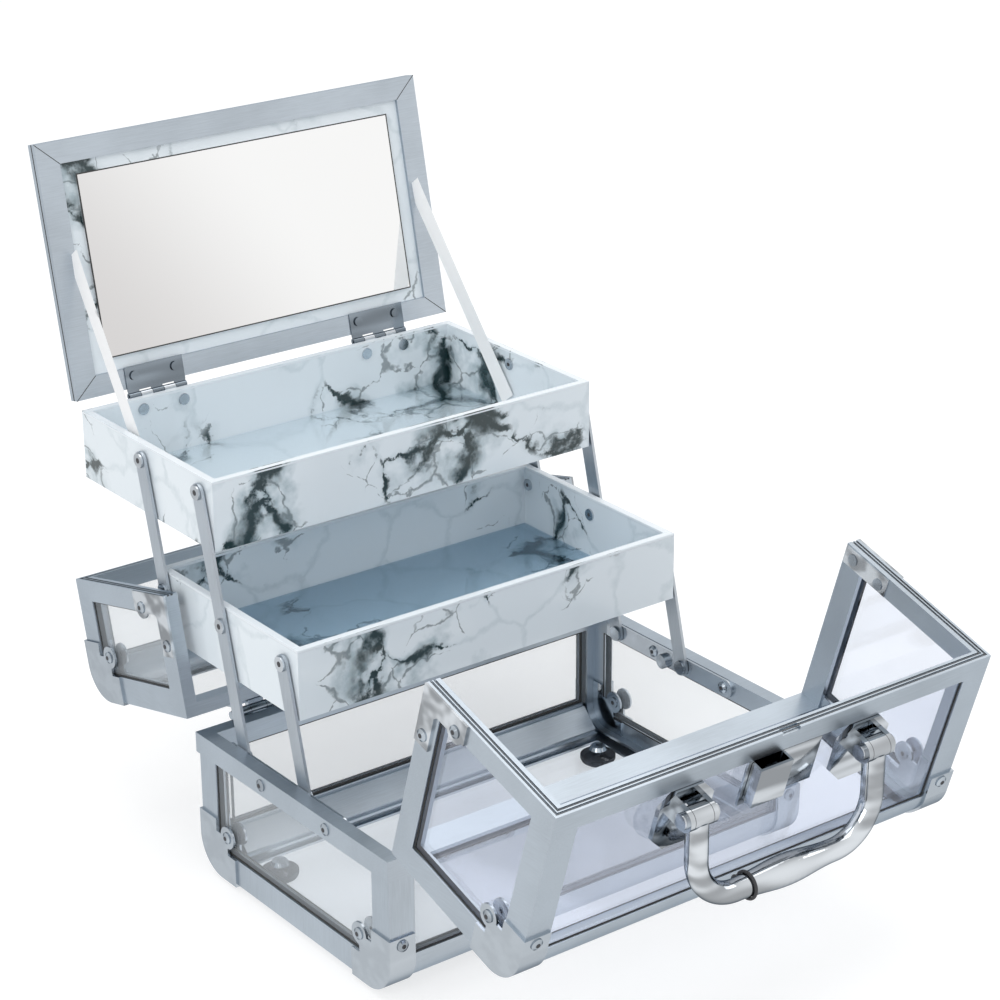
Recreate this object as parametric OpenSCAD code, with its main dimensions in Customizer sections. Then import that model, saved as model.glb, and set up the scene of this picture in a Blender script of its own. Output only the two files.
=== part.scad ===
// Clear cosmetics case with a handle, standing open as in use.
// Clear panels sit in aluminium rails. The upper half is split into a front flap and a rear flap, which
// are hinged to the base. Two trays step up and back on side arms, and the upper one carries a mirror lid.
// X is the width, Y runs from front to rear, Z is up, and the feet stand at Z = 0.

/* [Case] */
// Outer width over the rim
case_w = 200; // [190:1:215]
// Outer depth over the rim
case_d = 130; // [127:1:136]
// Height of the base, from its underside to the top of its rim
base_h = 57.2; // [50:0.2:64]
// Height of the flaps
flap_h = 74; // [74:0.5:80]
// Depth of the rear flap, seen from the side
rear_flap_d = 50; // [47:1:52]
// Radius of the four rounded long edges
edge_r = 13.7; // [13:0.1:14.5]
// Gap between rim and flaps, and between the two flaps
seam_gap = 0.4; // [0.3:0.05:0.6]

/* [Panels and rails] */
// Thickness of the clear panels
panel_t = 2.5; // [2:0.1:2.8]
// Thickness of the outer skin of the rails
skin_t = 1; // [0.8:0.1:1.1]
// Thickness of the inner lip of the rails
lip_t = 1.1; // [0.9:0.1:1.2]
// How much thicker the seam rails and hinge rails are than the side rails
rail_extra = 0.8; // [0.6:0.1:1]
// Width of the corner angles on each face
flange_w = 11; // [10:0.5:12]
// Solid width at the corner of an angle, where the panel edges end
core_w = 5.5; // [5.2:0.1:6]
// Width of the angles' inner lips, which the shut lid passes
lip_w = 8.5; // [7.5:0.1:8.6]
// How far the long edge rails reach past their round
rail_grip = 1.3; // [1:0.1:2]
// Height of the base rim
rim_h = 8.5; // [8:0.1:10]
// Thickness of the base rim, from outside to inside
rim_t = 6; // [5.8:0.1:6.4]
// How far the rim stands out past the base panels' rails
rim_proud = 1; // [0.8:0.1:1.1]
// Depth of the panel groove under the rim
rim_groove = 5; // [3:0.5:6]
// Height of the hinge rail at the foot of each flap
hinge_rail_h = 10; // [9:0.5:12]
// Width of the seam rails on the flaps
seam_rail_w = 8.5; // [8:0.1:9.5]
// How far the flap panels sit in the seam rails and hinge rails
panel_grip = 3.5; // [2:0.5:4]
// Width and depth of the two lines along the seam faces
seam_line = [1, 0.6];

/* [Corner fittings] */
// Thickness of caps, catch plates and inner brackets
cap_t = 0.9; // [0.7:0.1:1]
// Length of a cap along each side edge
cap_side = 24; // [22:0.5:26]
// Width of a cap on the front, rear, top and bottom faces
cap_wrap = 11.5; // [10:0.5:12]
// Distance of the cap rivet from both edges of the side face
cap_rivet = 18.8; // [17:0.2:20]
// Radius of the round lobe about that rivet
cap_lobe_r = 4.6; // [4:0.1:5]
// Length of a catch plate up the seam rail and along the hinge rail
catch_side = 25; // [22:0.5:28]

/* [Rivets] */
// Diameter of a rivet head
rivet_head_d = 4.8; // [4:0.1:5]
// Height of a rivet head
rivet_head_h = 1; // [0.6:0.1:1.2]
// Diameter of a rivet shank
rivet_d = 3; // [2:0.1:3.2]
// Depth of the blind holes for the rivets on the outside of the rim
blind_d = 0.5; // [0.4:0.1:0.8]

/* [Flap hinges] */
// Distance of each flap hinge from the middle
hinge_x = 62; // [55:1:68]
// Width of a hinge leaf
leaf_w = 36; // [32:0.5:40]
// Height of a hinge leaf
leaf_h = 7.4; // [7:0.1:8]
// Thickness of a hinge leaf
leaf_t = 1; // [0.8:0.1:1.1]
// Distance of the leaf rivets from the middle of the leaf
leaf_rivet_x = 13.8; // [12:0.2:15]
// Diameter of the hinge pins
hinge_pin_d = 2.4; // [2:0.1:2.6]
// Outer diameter of the hinge knuckles
knuckle_d = 4.4; // [4:0.1:4.8]
// Knuckles in a flap hinge
knuckles = 5; // [3:2:7]
// Length and height of the heads on the hinge pins
pin_head = [1, 0.5]; // [0.4:0.1:1.4]
// Distance of the front pin in front of the rim
front_pin_out = 3.2; // [3:0.1:3.6]
// Height of the front pin above the rim
front_pin_up = 1.8; // [1.6:0.1:2]
// Angle by which the front flap stands open
front_open = 107.2; // [100:0.2:110]
// Distance of the rear pin behind the rim
rear_pin_out = 4; // [3.6:0.1:4.2]
// Depth of the rear pin below the rim's top
rear_pin_down = 0.5; // [0.4:0.1:0.8]
// Angle by which the rear flap stands open
rear_open = 104; // [100:0.2:105]

/* [Trays] */
// Height of a tray
tray_h = 28.6; // [26:0.2:28.6]
// Thickness of the tray walls
tray_wall = 3; // [2:0.1:3.2]
// Thickness of the tray floors
tray_floor = 2; // [1.5:0.1:3]
// Depth that the trays leave free in the case
tray_depth_free = 32; // [31:0.5:36]
// Distance of the front pivot from the front of the lower tray
tray_front_margin = 8.6; // [7:0.1:10]
// Distance of the rear pivot from the rear of the lower tray
tray_rear_margin = 5.6; // [5.6:0.1:7]
// Height of the lower tray's pivots above its underside
lower_pin_up = 21; // [20:0.2:22]
// Height of the upper tray's pivots above its underside
upper_pin_up = 22.6; // [22:0.2:23.6]
// Distance of the upper tray's front pivot from its front
upper_pin_front = 8.3; // [7:0.1:10]
// Gap between the folded trays
stack_gap = 0.4; // [0.3:0.1:1]
// Gap between the tray walls and the arms
tray_gap = 0.8; // [0.6:0.1:1]
// Gap between the shut lid and the front panel
lid_front_gap = 2.9; // [2.5:0.1:4]

/* [Lift arms] */
// Distance of the rear base pivots from the rear face of the rim
base_pin_rear = 23.5; // [22:0.5:26]
// Width of an arm
arm_w = 7; // [6:0.2:8]
// Thickness of an arm
arm_t = 1.2; // [1:0.05:1.3]
// Angle by which the raised arms lean back
arm_lean = 14.4; // [12:0.2:16]
// Thickness of the pivot strips inside the rim
strip_t = 1.2; // [1:0.05:1.3]
// Height of the pivot strips
strip_h = 7.6; // [7:0.1:8]
// Depth of the strips below the top of the rim
strip_down = 0.2; // [0.1:0.1:0.5]
// Length of the pivot strips past their front pivots
strip_front = 30; // [26:1:32]
// Length of the pivot strips past their rear pivots
strip_rear = 7.5; // [6:0.5:9]
// Depth of the base pivots below the top of the rim
base_pin_down = 4; // [3.8:0.1:4.6]
// Diameter of the pivot studs
stud_d = 3; // [2.4:0.1:3.4]
// Diameter of the pivot stud heads
stud_head_d = 6; // [5:0.1:7]
// Height of the pivot stud heads
stud_head_h = 0.9; // [0.6:0.05:1]
// Diameter of the eyelets inside the trays
eyelet_d = 5; // [4:0.1:5]
// Height of the eyelets inside the trays
eyelet_h = 0.7; // [0.5:0.1:1]
// Diameter of the spacers between trays and arms
spacer_d = 4.6; // [4:0.1:5]
// Diameter of the round stops on the pivot strips
stop_d = 6; // [5:0.2:7]
// Distance of the stops behind the front base pivots
stop_back = 11.9; // [10:0.1:14]

/* [Mirror lid] */
// Thickness of the lid
lid_t = 5; // [4.6:0.1:5.2]
// How far the shut lid reaches past the front of its tray
lid_overhang = 6.5; // [5:0.1:7]
// How far the lid is wider than the trays
lid_over = 1.1; // [0.4:0.1:1.6]
// Angle by which the lid stands open
lid_open = 102.2; // [96:0.2:104]
// Distance of the lid's lower edge from its hinge pin
lid_set_off = 3; // [2.6:0.1:3.6]
// Distance of the lid pin behind the tray
lid_pin_out = 1.5; // [1.4:0.05:1.8]
// Height of the lid pin above the tray, and of the lid's face above the pin
lid_pin_up = 0.3; // [0.28:0.01:0.4]
// Widths of the lid frame: sides, upper edge, lower edge
lid_border = [10, 9, 8.5];
// Widths of the print between frame and glass: sides, upper edge, lower edge
print_border = [6.5, 5, 5.5];
// Thickness of the mirror glass
glass_t = 1.2; // [1:0.1:1.5]
// Thickness of the printed board behind the glass
board_t = 2; // [1.5:0.1:2.2]
// Thickness of the board's cover lip on the mirror side
lid_lip_t = 1.4; // [1.3:0.1:1.6]
// Distance of the lid hinges from the middle
lid_hinge_x = 54.8; // [45:0.5:60]
// Width of a lid hinge
lid_hinge_w = 27; // [22:0.5:30]
// Diameter of the lid hinge knuckles
lid_knuckle_d = 2.6; // [2.4:0.1:2.7]
// Diameter of the lid hinge pins
lid_pin_d = 1.2; // [1:0.1:1.3]
// Thickness of the lid hinge leaves
lid_leaf_t = 0.5; // [0.4:0.02:0.5]
// Width of the ribbon straps
strap_w = 9; // [6:0.5:11]
// Thickness of the ribbon straps
strap_t = 0.8; // [0.5:0.1:1]
// Distance of the straps' lower ends in front of the lid pin
strap_back = 46.8; // [44:0.2:52]
// Height of the straps' lower ends above the tray's underside
strap_up = 6.5; // [6:0.1:8]
// Distance of the straps' upper ends from the lid's lower edge
strap_high = 58; // [50:1:62]
// Distance by which the straps lean in at their upper ends
strap_lean = 4; // [3:0.5:5]
// Gap between the straps and what they are held to
strap_gap = 0.3; // [0.2:0.05:0.4]

/* [Handle] */
// Distance of the handle legs from the middle
handle_x = 41; // [36:1:46]
// Drop from the handle's pivots to the middle of its grip
handle_drop = 35; // [32:0.5:40]
// Diameter of the handle legs
handle_d = 8.4; // [7:0.2:9]
// Diameter of the grip at its middle
grip_d = 11.5; // [9.5:0.5:13]
// Radius of the handle's bends, to the middle of the rod
handle_bend_r = 18; // [14:0.5:22]
// Distance of the handle pivots in front of the seam
handle_back = 16.5; // [14:0.5:20]
// Height of the handle pivots above the panel
handle_pin_up = 8; // [7.6:0.1:10]
// Diameter of the handle pins
handle_pin_d = 4; // [3:0.2:4.6]
// Thickness of the tie round the grip
tie_d = 1.2; // [0.8:0.1:1.6]
// Width and length of the eight-sided mounts
mount_size = [24, 26];
// Thickness of the mounts and of their cheeks
mount_t = 2; // [1.5:0.1:2.4]
// Cut at the mounts' corners
mount_cut = 6; // [4:0.5:7]
// Width of the handle's eyes
eye_w = 8; // [7:0.5:9]
// Wall of the handle's eyes
eye_wall = 2.3; // [2:0.1:2.6]
// Length of the heads on the handle pins
handle_head = 1.5; // [1:0.1:2]

/* [Latch] */
// Distance of the latch from the middle
latch_x = 3; // [-4:0.5:6]
// Width and length of the latch plate
latch_size = [34, 20];
// Height of the latch lever
latch_h = 5; // [4.4:0.1:6]
// Width and length of the latch lever
lever_size = [15, 17];
// Thickness of the latch's sheet
latch_t = 1; // [0.8:0.1:1.2]
// Distance of the lever from the left end of the plate
lever_in = 1.5; // [1:0.1:3]
// Distance of the lever's pin from the front of the plate, and its height above the plate
lever_pin_at = [4, 1.8]; // [1.6:0.1:5]
// Diameter of the lever's pin
lever_pin_d = 1.6; // [1.4:0.1:1.8]
// Thickness of the lugs that carry the pin
lug_t = 1.2; // [1:0.1:1.5]
// Wall of the lugs round the pin
lug_wall = 0.8; // [0.6:0.1:0.9]
// Gap between the lever's cheeks and the lugs
lug_gap = 1; // [0.3:0.1:2]
// Width of the keeper's plate
keeper_w = 20; // [18:0.5:24]
// Distance of the keeper's rivets from its middle
keeper_rivet = 7; // [6:0.2:8]
// Width of the keeper's lip
hook_w = 6.9; // [6:0.1:8]
// How far the lip reaches into the seam face of the front flap
hook_in = 0.7; // [0.4:0.1:0.8]
// Depth of the lip below the flaps' top
hook_down = 1.2; // [0.8:0.1:1.4]
// Room round the lip in its slot: sides, far, near, below
slot_room = [0.6, 0.5, 1.8, 1.2]; // [0.4:0.1:2]

/* [Feet] */
// Height of the base above the ground
foot_drop = 3; // [2:0.2:6]
// Diameter of a foot
foot_d = 15; // [12:0.5:17]
// Distance of the feet from the front and rear faces
foot_in = 25; // [24:0.5:30]
// Diameter of the foot screws
screw_d = 3; // [2.5:0.1:3.5]
// Height of the screw heads
screw_head_h = 1.6; // [1.2:0.1:2]
// Width and depth of the cross in the screw heads
screw_cross = [0.6, 0.8]; // [0.4:0.1:1]
// Gap between the feet and the side rails' flanges
foot_gap = 0.3; // [0.2:0.1:0.6]

/* [Fits] */
// Radial clearance of a pin or shank in its hole
fit = 0.05; // [0.03:0.01:0.08]
// Gap between parts that slide past each other
run_gap = 0.2; // [0.15:0.01:0.25]

/* [Hidden] */

ALU = "#c3c8ce";
CHROME = "#d9dde2";
CLEAR = "#dfeaf2";
PRINT = "#f2f3f4";
WHITE = "#fafafa";
RUBBER = "#1d1d1f";

FRONT = 0;
REAR = 1;
BIG = 400;

// Base heights and faces
base_z = foot_drop;
rim_top = base_z + base_h;
rim_low = rim_top - rim_h;
base_hx = case_w / 2 - rim_proud;
base_hy = case_d / 2 - rim_proud;
rim_in_x = case_w / 2 - rim_t;
panel_in = skin_t + panel_t;
wall_t = panel_in + lip_t;

// Flap heights and depths
seam_y = case_d / 2 - rear_flap_d;
flap_z = rim_top + seam_gap;
flap_top = flap_z + flap_h;
flap_depth = [case_d - rear_flap_d - seam_gap / 2, rear_flap_d - seam_gap / 2];
flap_wall_t = wall_t + rail_extra;
pin_out = [front_pin_out, rear_pin_out];
pin_up = [front_pin_up, -rear_pin_down];
opened = [front_open, rear_open];

// Trays and arms: positions of the pivots in the Y-Z plane
arm_outer = rim_in_x - strip_t - run_gap;
arm_inner = arm_outer - arm_t;
tray_w = 2 * (arm_inner - tray_gap);
tray_d = case_d - tray_depth_free;
pitch = (tray_d - tray_front_margin - tray_rear_margin) / 2;
stage_rise = tray_h + stack_gap + upper_pin_up - lower_pin_up;
shut_tray_front = -case_d / 2 + panel_in + lid_front_gap + lid_overhang;
b0 = [case_d / 2 - base_pin_rear, rim_top - base_pin_down];
fold_run = (b0[0] - shut_tray_front - upper_pin_front) / 2;
arm_l = sqrt(fold_run * fold_run + stage_rise * stage_rise);
c0 = b0 - [pitch, 0];
step = arm_l * [sin(arm_lean), cos(arm_lean)];
b1 = b0 + step;
b2 = b1 + step;
c1 = c0 + step;
a1 = b1 + [pitch, 0];
a2 = b2 + [pitch, 0];
lower_front = c1[0] - tray_front_margin;
lower_z = b1[1] - lower_pin_up;
upper_front = b2[0] - upper_pin_front;
upper_z = b2[1] - upper_pin_up;

// Mirror lid
lid_w = tray_w + lid_over;
lid_d = tray_d + lid_pin_out + lid_overhang - lid_set_off;
lid_axis = [upper_front + tray_d + lid_pin_out, upper_z + tray_h + lid_pin_up];
lid_layer = lid_axis[1] + lid_pin_up;
lid_low = lid_axis[0] - lid_set_off;
strap_low = [lid_axis[0] - strap_back, upper_z + strap_up];

// ---------------------------------------------------------------------------------------- helpers

// Extrudes a Y-Z drawing from x0 to x1
module along_x(x0, x1) translate([x0, 0, 0]) rotate([90, 0, 90]) linear_extrude(x1 - x0) children();

// Both sides, left and right
module both() {
    children();
    mirror([1, 0, 0]) children();
}

// A box between two corners
module span(low, high) translate(low) cube(high - low);

// A square between two corners
module area(low, high) translate(low) square(high - low);

// A round bar along X
module bar_x(x0, x1, d, facets = 32) {
    translate([x0, 0, 0]) rotate([0, 90, 0]) cylinder(h = x1 - x0, d = d, $fn = facets);
}

// A rivet: its head stands on Z = 0, and its shank goes down through the plate
module rivet(plate) {
    r = rivet_head_d / 2;
    rotate_extrude($fn = 24) polygon([[0, -plate], [rivet_d / 2, -plate], [rivet_d / 2, 0], [r, 0],
        [r, rivet_head_h * 0.4], [r * 0.6, rivet_head_h], [0, rivet_head_h]]);
}

// The hole that a rivet leaves in a plate
module rivet_hole(plate) {
    translate([0, 0, -plate - 1]) cylinder(h = plate + 2, d = rivet_d + 2 * fit, $fn = 24);
}

// Turns about an axis along X through the point p of the Y-Z plane
module turned(p, angle) {
    translate([0, p[0], p[1]]) rotate([angle, 0, 0]) translate([0, -p[0], -p[1]]) children();
}

// Where a point of the Y-Z plane goes in such a turn
function turn(q, p, a) = p + [(q[0] - p[0]) * cos(a) - (q[1] - p[1]) * sin(a),
    (q[0] - p[0]) * sin(a) + (q[1] - p[1]) * cos(a)];

// Layers of a corner angle, from the side face inwards: [from, to, edge inset, inner inset]
function angle_layers() = [
    [0, skin_t, 0, flange_w], [skin_t, panel_in, 0, core_w], [panel_in, wall_t, 0, flange_w],
    [wall_t, core_w, 0, wall_t], [core_w, flange_w, 0, skin_t], [core_w, lip_w, panel_in, wall_t]];

// ------------------------------------------------------------------------------------------- base

// Side outline of the base, drawn in Y-Z and set in from front, rear and floor
module base_outline(inset) {
    r = edge_r - inset;
    z_round = base_z + edge_r;
    y_round = base_hy - edge_r;
    area([-base_hy + inset, z_round], [base_hy - inset, rim_low]);
    area([-y_round, base_z + inset], [y_round, z_round]);
    for (s = [-1, 1]) translate([s * y_round, z_round]) circle(r, $fn = 64);
}

// The band between two insets of the base outline
module base_band(a, b) difference() {
    base_outline(a);
    union() {
        base_outline(b);
        area([-base_hy + b, rim_low - 1], [base_hy - b, rim_low + 1]);
    }
}

// The bent frame of both flanges, on the right side
module base_side_frame() {
    for (layer = angle_layers()) {
        along_x(base_hx - layer[1], base_hx - layer[0]) base_band(layer[2], layer[3]);
    }
}

// Everything outside the mitre cuts, between the two lower corners
module sill_zone() {
    r = edge_r;
    polygon([[-base_hy - 1, base_z - 1], [base_hy + 1, base_z - 1],
        [base_hy - r, base_z + r], [-base_hy + r, base_z + r]]);
}

module base_corner_angles() color(ALU) both() {
    difference() {
        base_side_frame();
        along_x(base_hx - flange_w - 1, base_hx + 1) sill_zone();
    }
    intersection() {
        base_side_frame();
        along_x(base_hx - flange_w - 1, base_hx + 1) sill_zone();
    }
}

module base_side_panels() color(CLEAR) both() along_x(base_hx - panel_in, base_hx - skin_t) {
    base_outline(core_w);
    area([-base_hy + core_w, rim_low - 1], [base_hy - core_w, rim_low + rim_groove]);
}

module base_end_panel() {
    span([-base_hx + core_w, -base_hy + skin_t, base_z + edge_r],
        [base_hx - core_w, -base_hy + panel_in, rim_low + rim_groove]);
}

module base_front_panel() color(CLEAR) base_end_panel();

module base_rear_panel() color(CLEAR) mirror([0, 1, 0]) base_end_panel();

module base_floor_panel() color(CLEAR) difference() {
    span([-base_hx + core_w, -base_hy + edge_r, base_z + skin_t],
        [base_hx - core_w, base_hy - edge_r, base_z + panel_in]);
    at_feet() cylinder(h = BIG, d = screw_d + 2 * fit, center = true, $fn = 24);
}

// Section of a long edge rail: a quarter round outside, a slant inside, and two panel slots
module edge_section(inner_r) {
    leg = edge_r + rail_grip;
    difference() {
        union() {
            intersection() {
                translate([edge_r, edge_r]) circle(edge_r, $fn = 96);
                square(edge_r);
            }
            area([edge_r, 0], [leg, wall_t]);
            area([0, edge_r], [wall_t, leg]);
        }
        if (inner_r > 0) {
            translate([edge_r, edge_r]) circle(inner_r, $fn = 96);
        } else {
            polygon([[leg, wall_t], [leg, leg], [wall_t, leg]]);
        }
        area([edge_r, skin_t], [leg + 1, panel_in]);
        area([skin_t, edge_r], [panel_in, leg + 1]);
    }
}

module base_bottom_rails() color(ALU) for (s = [0, 1]) mirror([0, s, 0]) {
    along_x(-base_hx + flange_w, base_hx - flange_w) translate([-base_hy, base_z]) edge_section(0);
}

module base_rim() color(ALU) difference() {
    span([-case_w / 2, -case_d / 2, rim_low], [case_w / 2, case_d / 2, rim_top]);
    span([-rim_in_x, -case_d / 2 + rim_t, rim_low - 1], [rim_in_x, case_d / 2 - rim_t, rim_top + 1]);
    difference() {
        span([-base_hx + skin_t, -base_hy + skin_t, rim_low - 1],
            [base_hx - skin_t, base_hy - skin_t, rim_low + rim_groove]);
        span([-base_hx + panel_in, -base_hy + panel_in, rim_low - 2],
            [base_hx - panel_in, base_hy - panel_in, rim_top]);
    }
    rim_rivet_places() rivet_hole(blind_d);
}

// A cap's side face, measured from the corner along both edges
module corner_plate() {
    area([-1, -1], [cap_rivet, cap_rivet]);
    area([-1, -1], [cap_side, flange_w]);
    area([-1, -1], [flange_w, cap_side]);
    translate([cap_rivet, cap_rivet]) circle(cap_lobe_r, $fn = 32);
}

// Corner of a box with a rounded edge: everything inside the edge, from the corner outwards
module corner_outline(inset) {
    translate([edge_r, edge_r]) circle(edge_r - inset, $fn = 64);
    area([inset, edge_r], [2 * cap_side, 2 * cap_side]);
    area([edge_r, inset], [2 * cap_side, 2 * cap_side]);
}

// A cap, drawn at its corner: side face at X = 0 towards -X, both edges along +Y and +Z
module corner_cap() difference() {
    union() {
        along_x(0, cap_t) intersection() {
            corner_plate();
            corner_outline(-cap_t);
        }
        along_x(cap_t - cap_wrap, cap_t) intersection() {
            area([-1, -1], [cap_side, cap_side]);
            difference() {
                corner_outline(-cap_t);
                corner_outline(0);
            }
        }
    }
    cap_rivet_places() rivet_hole(cap_t);
}

// The three rivets of a cap, each on its own face
module cap_rivet_places() {
    translate([cap_t, cap_rivet, cap_rivet]) rotate([0, 90, 0]) children();
    translate([cap_t - cap_wrap / 2, -cap_t, cap_rivet + 2]) rotate([90, 0, 0]) children();
    translate([cap_t - cap_wrap / 2, cap_rivet + 2, -cap_t]) rotate([180, 0, 0]) children();
}

// The bracket behind a cap, on the inner lip, with its own round lobe
module corner_bracket() difference() {
    along_x(-wall_t - cap_t, -wall_t) intersection() {
        corner_plate();
        corner_outline(wall_t + fit);
    }
    translate([-wall_t - cap_t, cap_rivet, cap_rivet]) rotate([0, -90, 0]) rivet_hole(cap_t);
}

// The low head of the bracket's rivet, which clears the pivot studs
module bracket_rivet() translate([-wall_t - cap_t, cap_rivet, cap_rivet]) rotate([0, -90, 0]) {
    translate([0, 0, -cap_t]) cylinder(h = cap_t, d = rivet_d, $fn = 24);
    cylinder(h = rivet_head_h / 2, d = rivet_head_d, $fn = 24);
}

module base_corners() {
    for (x = [0, 1], y = [0, 1]) mirror([x, 0, 0]) mirror([0, y, 0]) {
        translate([base_hx, -base_hy, base_z]) children();
    }
}

module base_corner_caps() color(CHROME) base_corners() corner_cap();

module base_corner_brackets() color(CHROME) base_corners() corner_bracket();

module base_rivets() color(CHROME) {
    base_corners() {
        cap_rivet_places() rivet(cap_t);
        bracket_rivet();
    }
    strip_rivet_places() rivet(strip_t);
    rim_rivet_places() rivet(blind_d);
    for (side = [FRONT, REAR]) at_hinges(side) leaf_rivets(side, 0) rivet(leaf_t);
}

// ------------------------------------------------------------------------------------------- feet

module at_feet() {
    for (x = [-1, 1], y = [-1, 1]) {
        translate([x * (base_hx - flange_w - foot_d / 2 - foot_gap), y * (base_hy - foot_in), 0]) children();
    }
}

module rubber_feet() color(RUBBER) at_feet() difference() {
    rotate_extrude($fn = 48) polygon([[0, 0], [foot_d * 0.34, 0], [foot_d * 0.46, foot_drop * 0.4],
        [foot_d / 2, foot_drop * 0.8], [foot_d / 2, base_z + skin_t], [0, base_z + skin_t]]);
    translate([0, 0, base_z / 2]) cylinder(h = BIG, d = screw_d + 2 * fit, $fn = 24);
}

module foot_screws() color(CHROME) at_feet() {
    top = base_z + panel_in;
    translate([0, 0, base_z / 2]) cylinder(h = top - base_z / 2, d = screw_d, $fn = 24);
    difference() {
        translate([0, 0, top]) cylinder(h = screw_head_h, d1 = screw_d * 2.6, d2 = screw_d * 2, $fn = 32);
        for (s = [0, 1]) mirror([s, -s, 0]) span([-screw_d / 2, -screw_cross[0] / 2, top + screw_cross[1]],
            [screw_d / 2, screw_cross[0] / 2, top + 2 * screw_head_h]);
    }
}

// ---------------------------------------------------------------------------------- pivot strips

strip_rivets = [-0.82 * strip_front, 0.45 * pitch];
strip_z = [rim_top - strip_h - strip_down, rim_top - strip_down];

// Rivets of the strips, seen from inside the case
module strip_rivet_places() both() for (y = strip_rivets) {
    translate([rim_in_x - strip_t, c0[0] + y, b0[1]]) rotate([0, -90, 0]) children();
}

// Their outer heads, on the outside of the rim
module rim_rivet_places() both() for (y = strip_rivets) {
    translate([case_w / 2, c0[0] + y, b0[1]]) rotate([0, 90, 0]) children();
}

module pivot_strips() color(CHROME) difference() {
    both() {
        span([rim_in_x - strip_t, c0[0] - strip_front + strip_h / 2, strip_z[0]],
            [rim_in_x, b0[0] + strip_rear, strip_z[1]]);
        translate([0, c0[0] - strip_front + strip_h / 2, (strip_z[0] + strip_z[1]) / 2]) {
            bar_x(rim_in_x - strip_t, rim_in_x, strip_h);
        }
    }
    strip_rivet_places() rivet_hole(strip_t);
    for (p = [b0, c0]) translate([0, p[0], p[1]]) bar_x(-BIG, BIG, stud_d + 2 * fit);
}

module base_pivot_studs() color(CHROME) both() {
    for (p = [b0, c0]) translate([0, p[0], p[1]]) {
        bar_x(arm_inner - fit, rim_in_x, stud_d);
        bar_x(arm_inner - fit - stud_head_h, arm_inner - fit, stud_head_d);
    }
    translate([0, c0[0] + stop_back, strip_z[0] + stop_d / 2 - 1]) {
        bar_x(arm_inner - 0.5, rim_in_x - strip_t, stop_d);
    }
}

// ----------------------------------------------------------------------------------- flap hinges

// Places children at the two hinges of a side: origin on the pin, +Y towards the case
module at_hinges(side) mirror([0, side, 0]) for (s = [-1, 1]) {
    translate([s * hinge_x, -case_d / 2 - pin_out[side], rim_top + pin_up[side]]) children();
}

// Knuckles of one leaf, with the fingers that carry them; "part" is 0 for the base, 1 for the flap
module leaf_knuckles(side, part) {
    w = leaf_w / knuckles;
    low = part == 0 ? -max(pin_up[side], 0) - knuckle_d * 0.35 : 0;
    high = part == 0 ? 0 : knuckle_d * 0.5 + max(-pin_up[side], 0);
    for (i = [part:2:knuckles - 1]) {
        x0 = -leaf_w / 2 + i * w + run_gap / 2;
        x1 = x0 + w - run_gap;
        bar_x(x0, x1, knuckle_d);
        span([x0, 0, low], [x1, pin_out[side] - run_gap, high]);
    }
}

// Height of a leaf's plate, from its end at the knuckles to its other end
function leaf_rise(side, part) = part == 0
    ? min(-pin_up[side] - run_gap, -0.3)
    : max(-pin_up[side] + seam_gap + run_gap, 0.3);

module hinge_leaf(side, part) difference() {
    near = leaf_rise(side, part);
    far = near + (part == 0 ? -1 : 1) * leaf_h;
    union() {
        leaf_knuckles(side, part);
        span([-leaf_w / 2, pin_out[side] - leaf_t, min(near, far)],
            [leaf_w / 2, pin_out[side], max(near, far)]);
    }
    bar_x(-BIG, BIG, hinge_pin_d + 2 * fit, 24);
    leaf_rivets(side, part) rivet_hole(leaf_t);
}

module leaf_rivets(side, part) {
    middle = leaf_rise(side, part) + (part == 0 ? -1 : 1) * leaf_h * 0.58;
    for (x = [-1, 1]) {
        translate([x * leaf_rivet_x, pin_out[side] - leaf_t, middle]) rotate([90, 0, 0]) children();
    }
}

module base_hinge_leaves() color(CHROME) for (side = [FRONT, REAR]) at_hinges(side) hinge_leaf(side, 0);

module hinge_pins(side) at_hinges(side) {
    half = leaf_w / 2;
    bar_x(-half - run_gap - 0.1, half + run_gap + 0.1, hinge_pin_d, 24);
    for (s = [0, 1]) mirror([s, 0, 0]) {
        bar_x(half + run_gap, half + run_gap + pin_head[0], hinge_pin_d + 2 * pin_head[1], 24);
    }
}

module front_hinge_pins() color(CHROME) hinge_pins(FRONT);

module rear_hinge_pins() color(CHROME) hinge_pins(REAR);

// ------------------------------------------------------------------------------------------ flaps
// A flap is drawn shut: local Y runs from its outer face towards the seam, and X and Z are the case's.

// Puts a shut flap in its place and opens it
module flap(side) mirror([0, side, 0]) {
    pin = [-case_d / 2 - pin_out[side], rim_top + pin_up[side]];
    turned(pin, opened[side]) translate([0, -case_d / 2, 0]) children();
}

// Side outline of a flap, set in from its outer face and its top
module flap_outline(depth, inset, low) {
    round_z = flap_top - edge_r;
    area([inset, low], [depth, round_z]);
    area([edge_r, low], [depth, flap_top - inset]);
    translate([edge_r, round_z]) circle(edge_r - inset, $fn = 64);
}

// Side rails of a flap: one bent angle on each side, from the hinge rail round to the seam rail
module flap_side_rails(side) {
    depth = flap_depth[side] - seam_rail_w;
    low = flap_z + hinge_rail_h;
    both() for (layer = angle_layers()) {
        along_x(case_w / 2 - layer[1], case_w / 2 - layer[0]) difference() {
            flap_outline(depth, layer[2], low);
            flap_outline(depth + 1, layer[3], low - 1);
        }
    }
}

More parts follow.
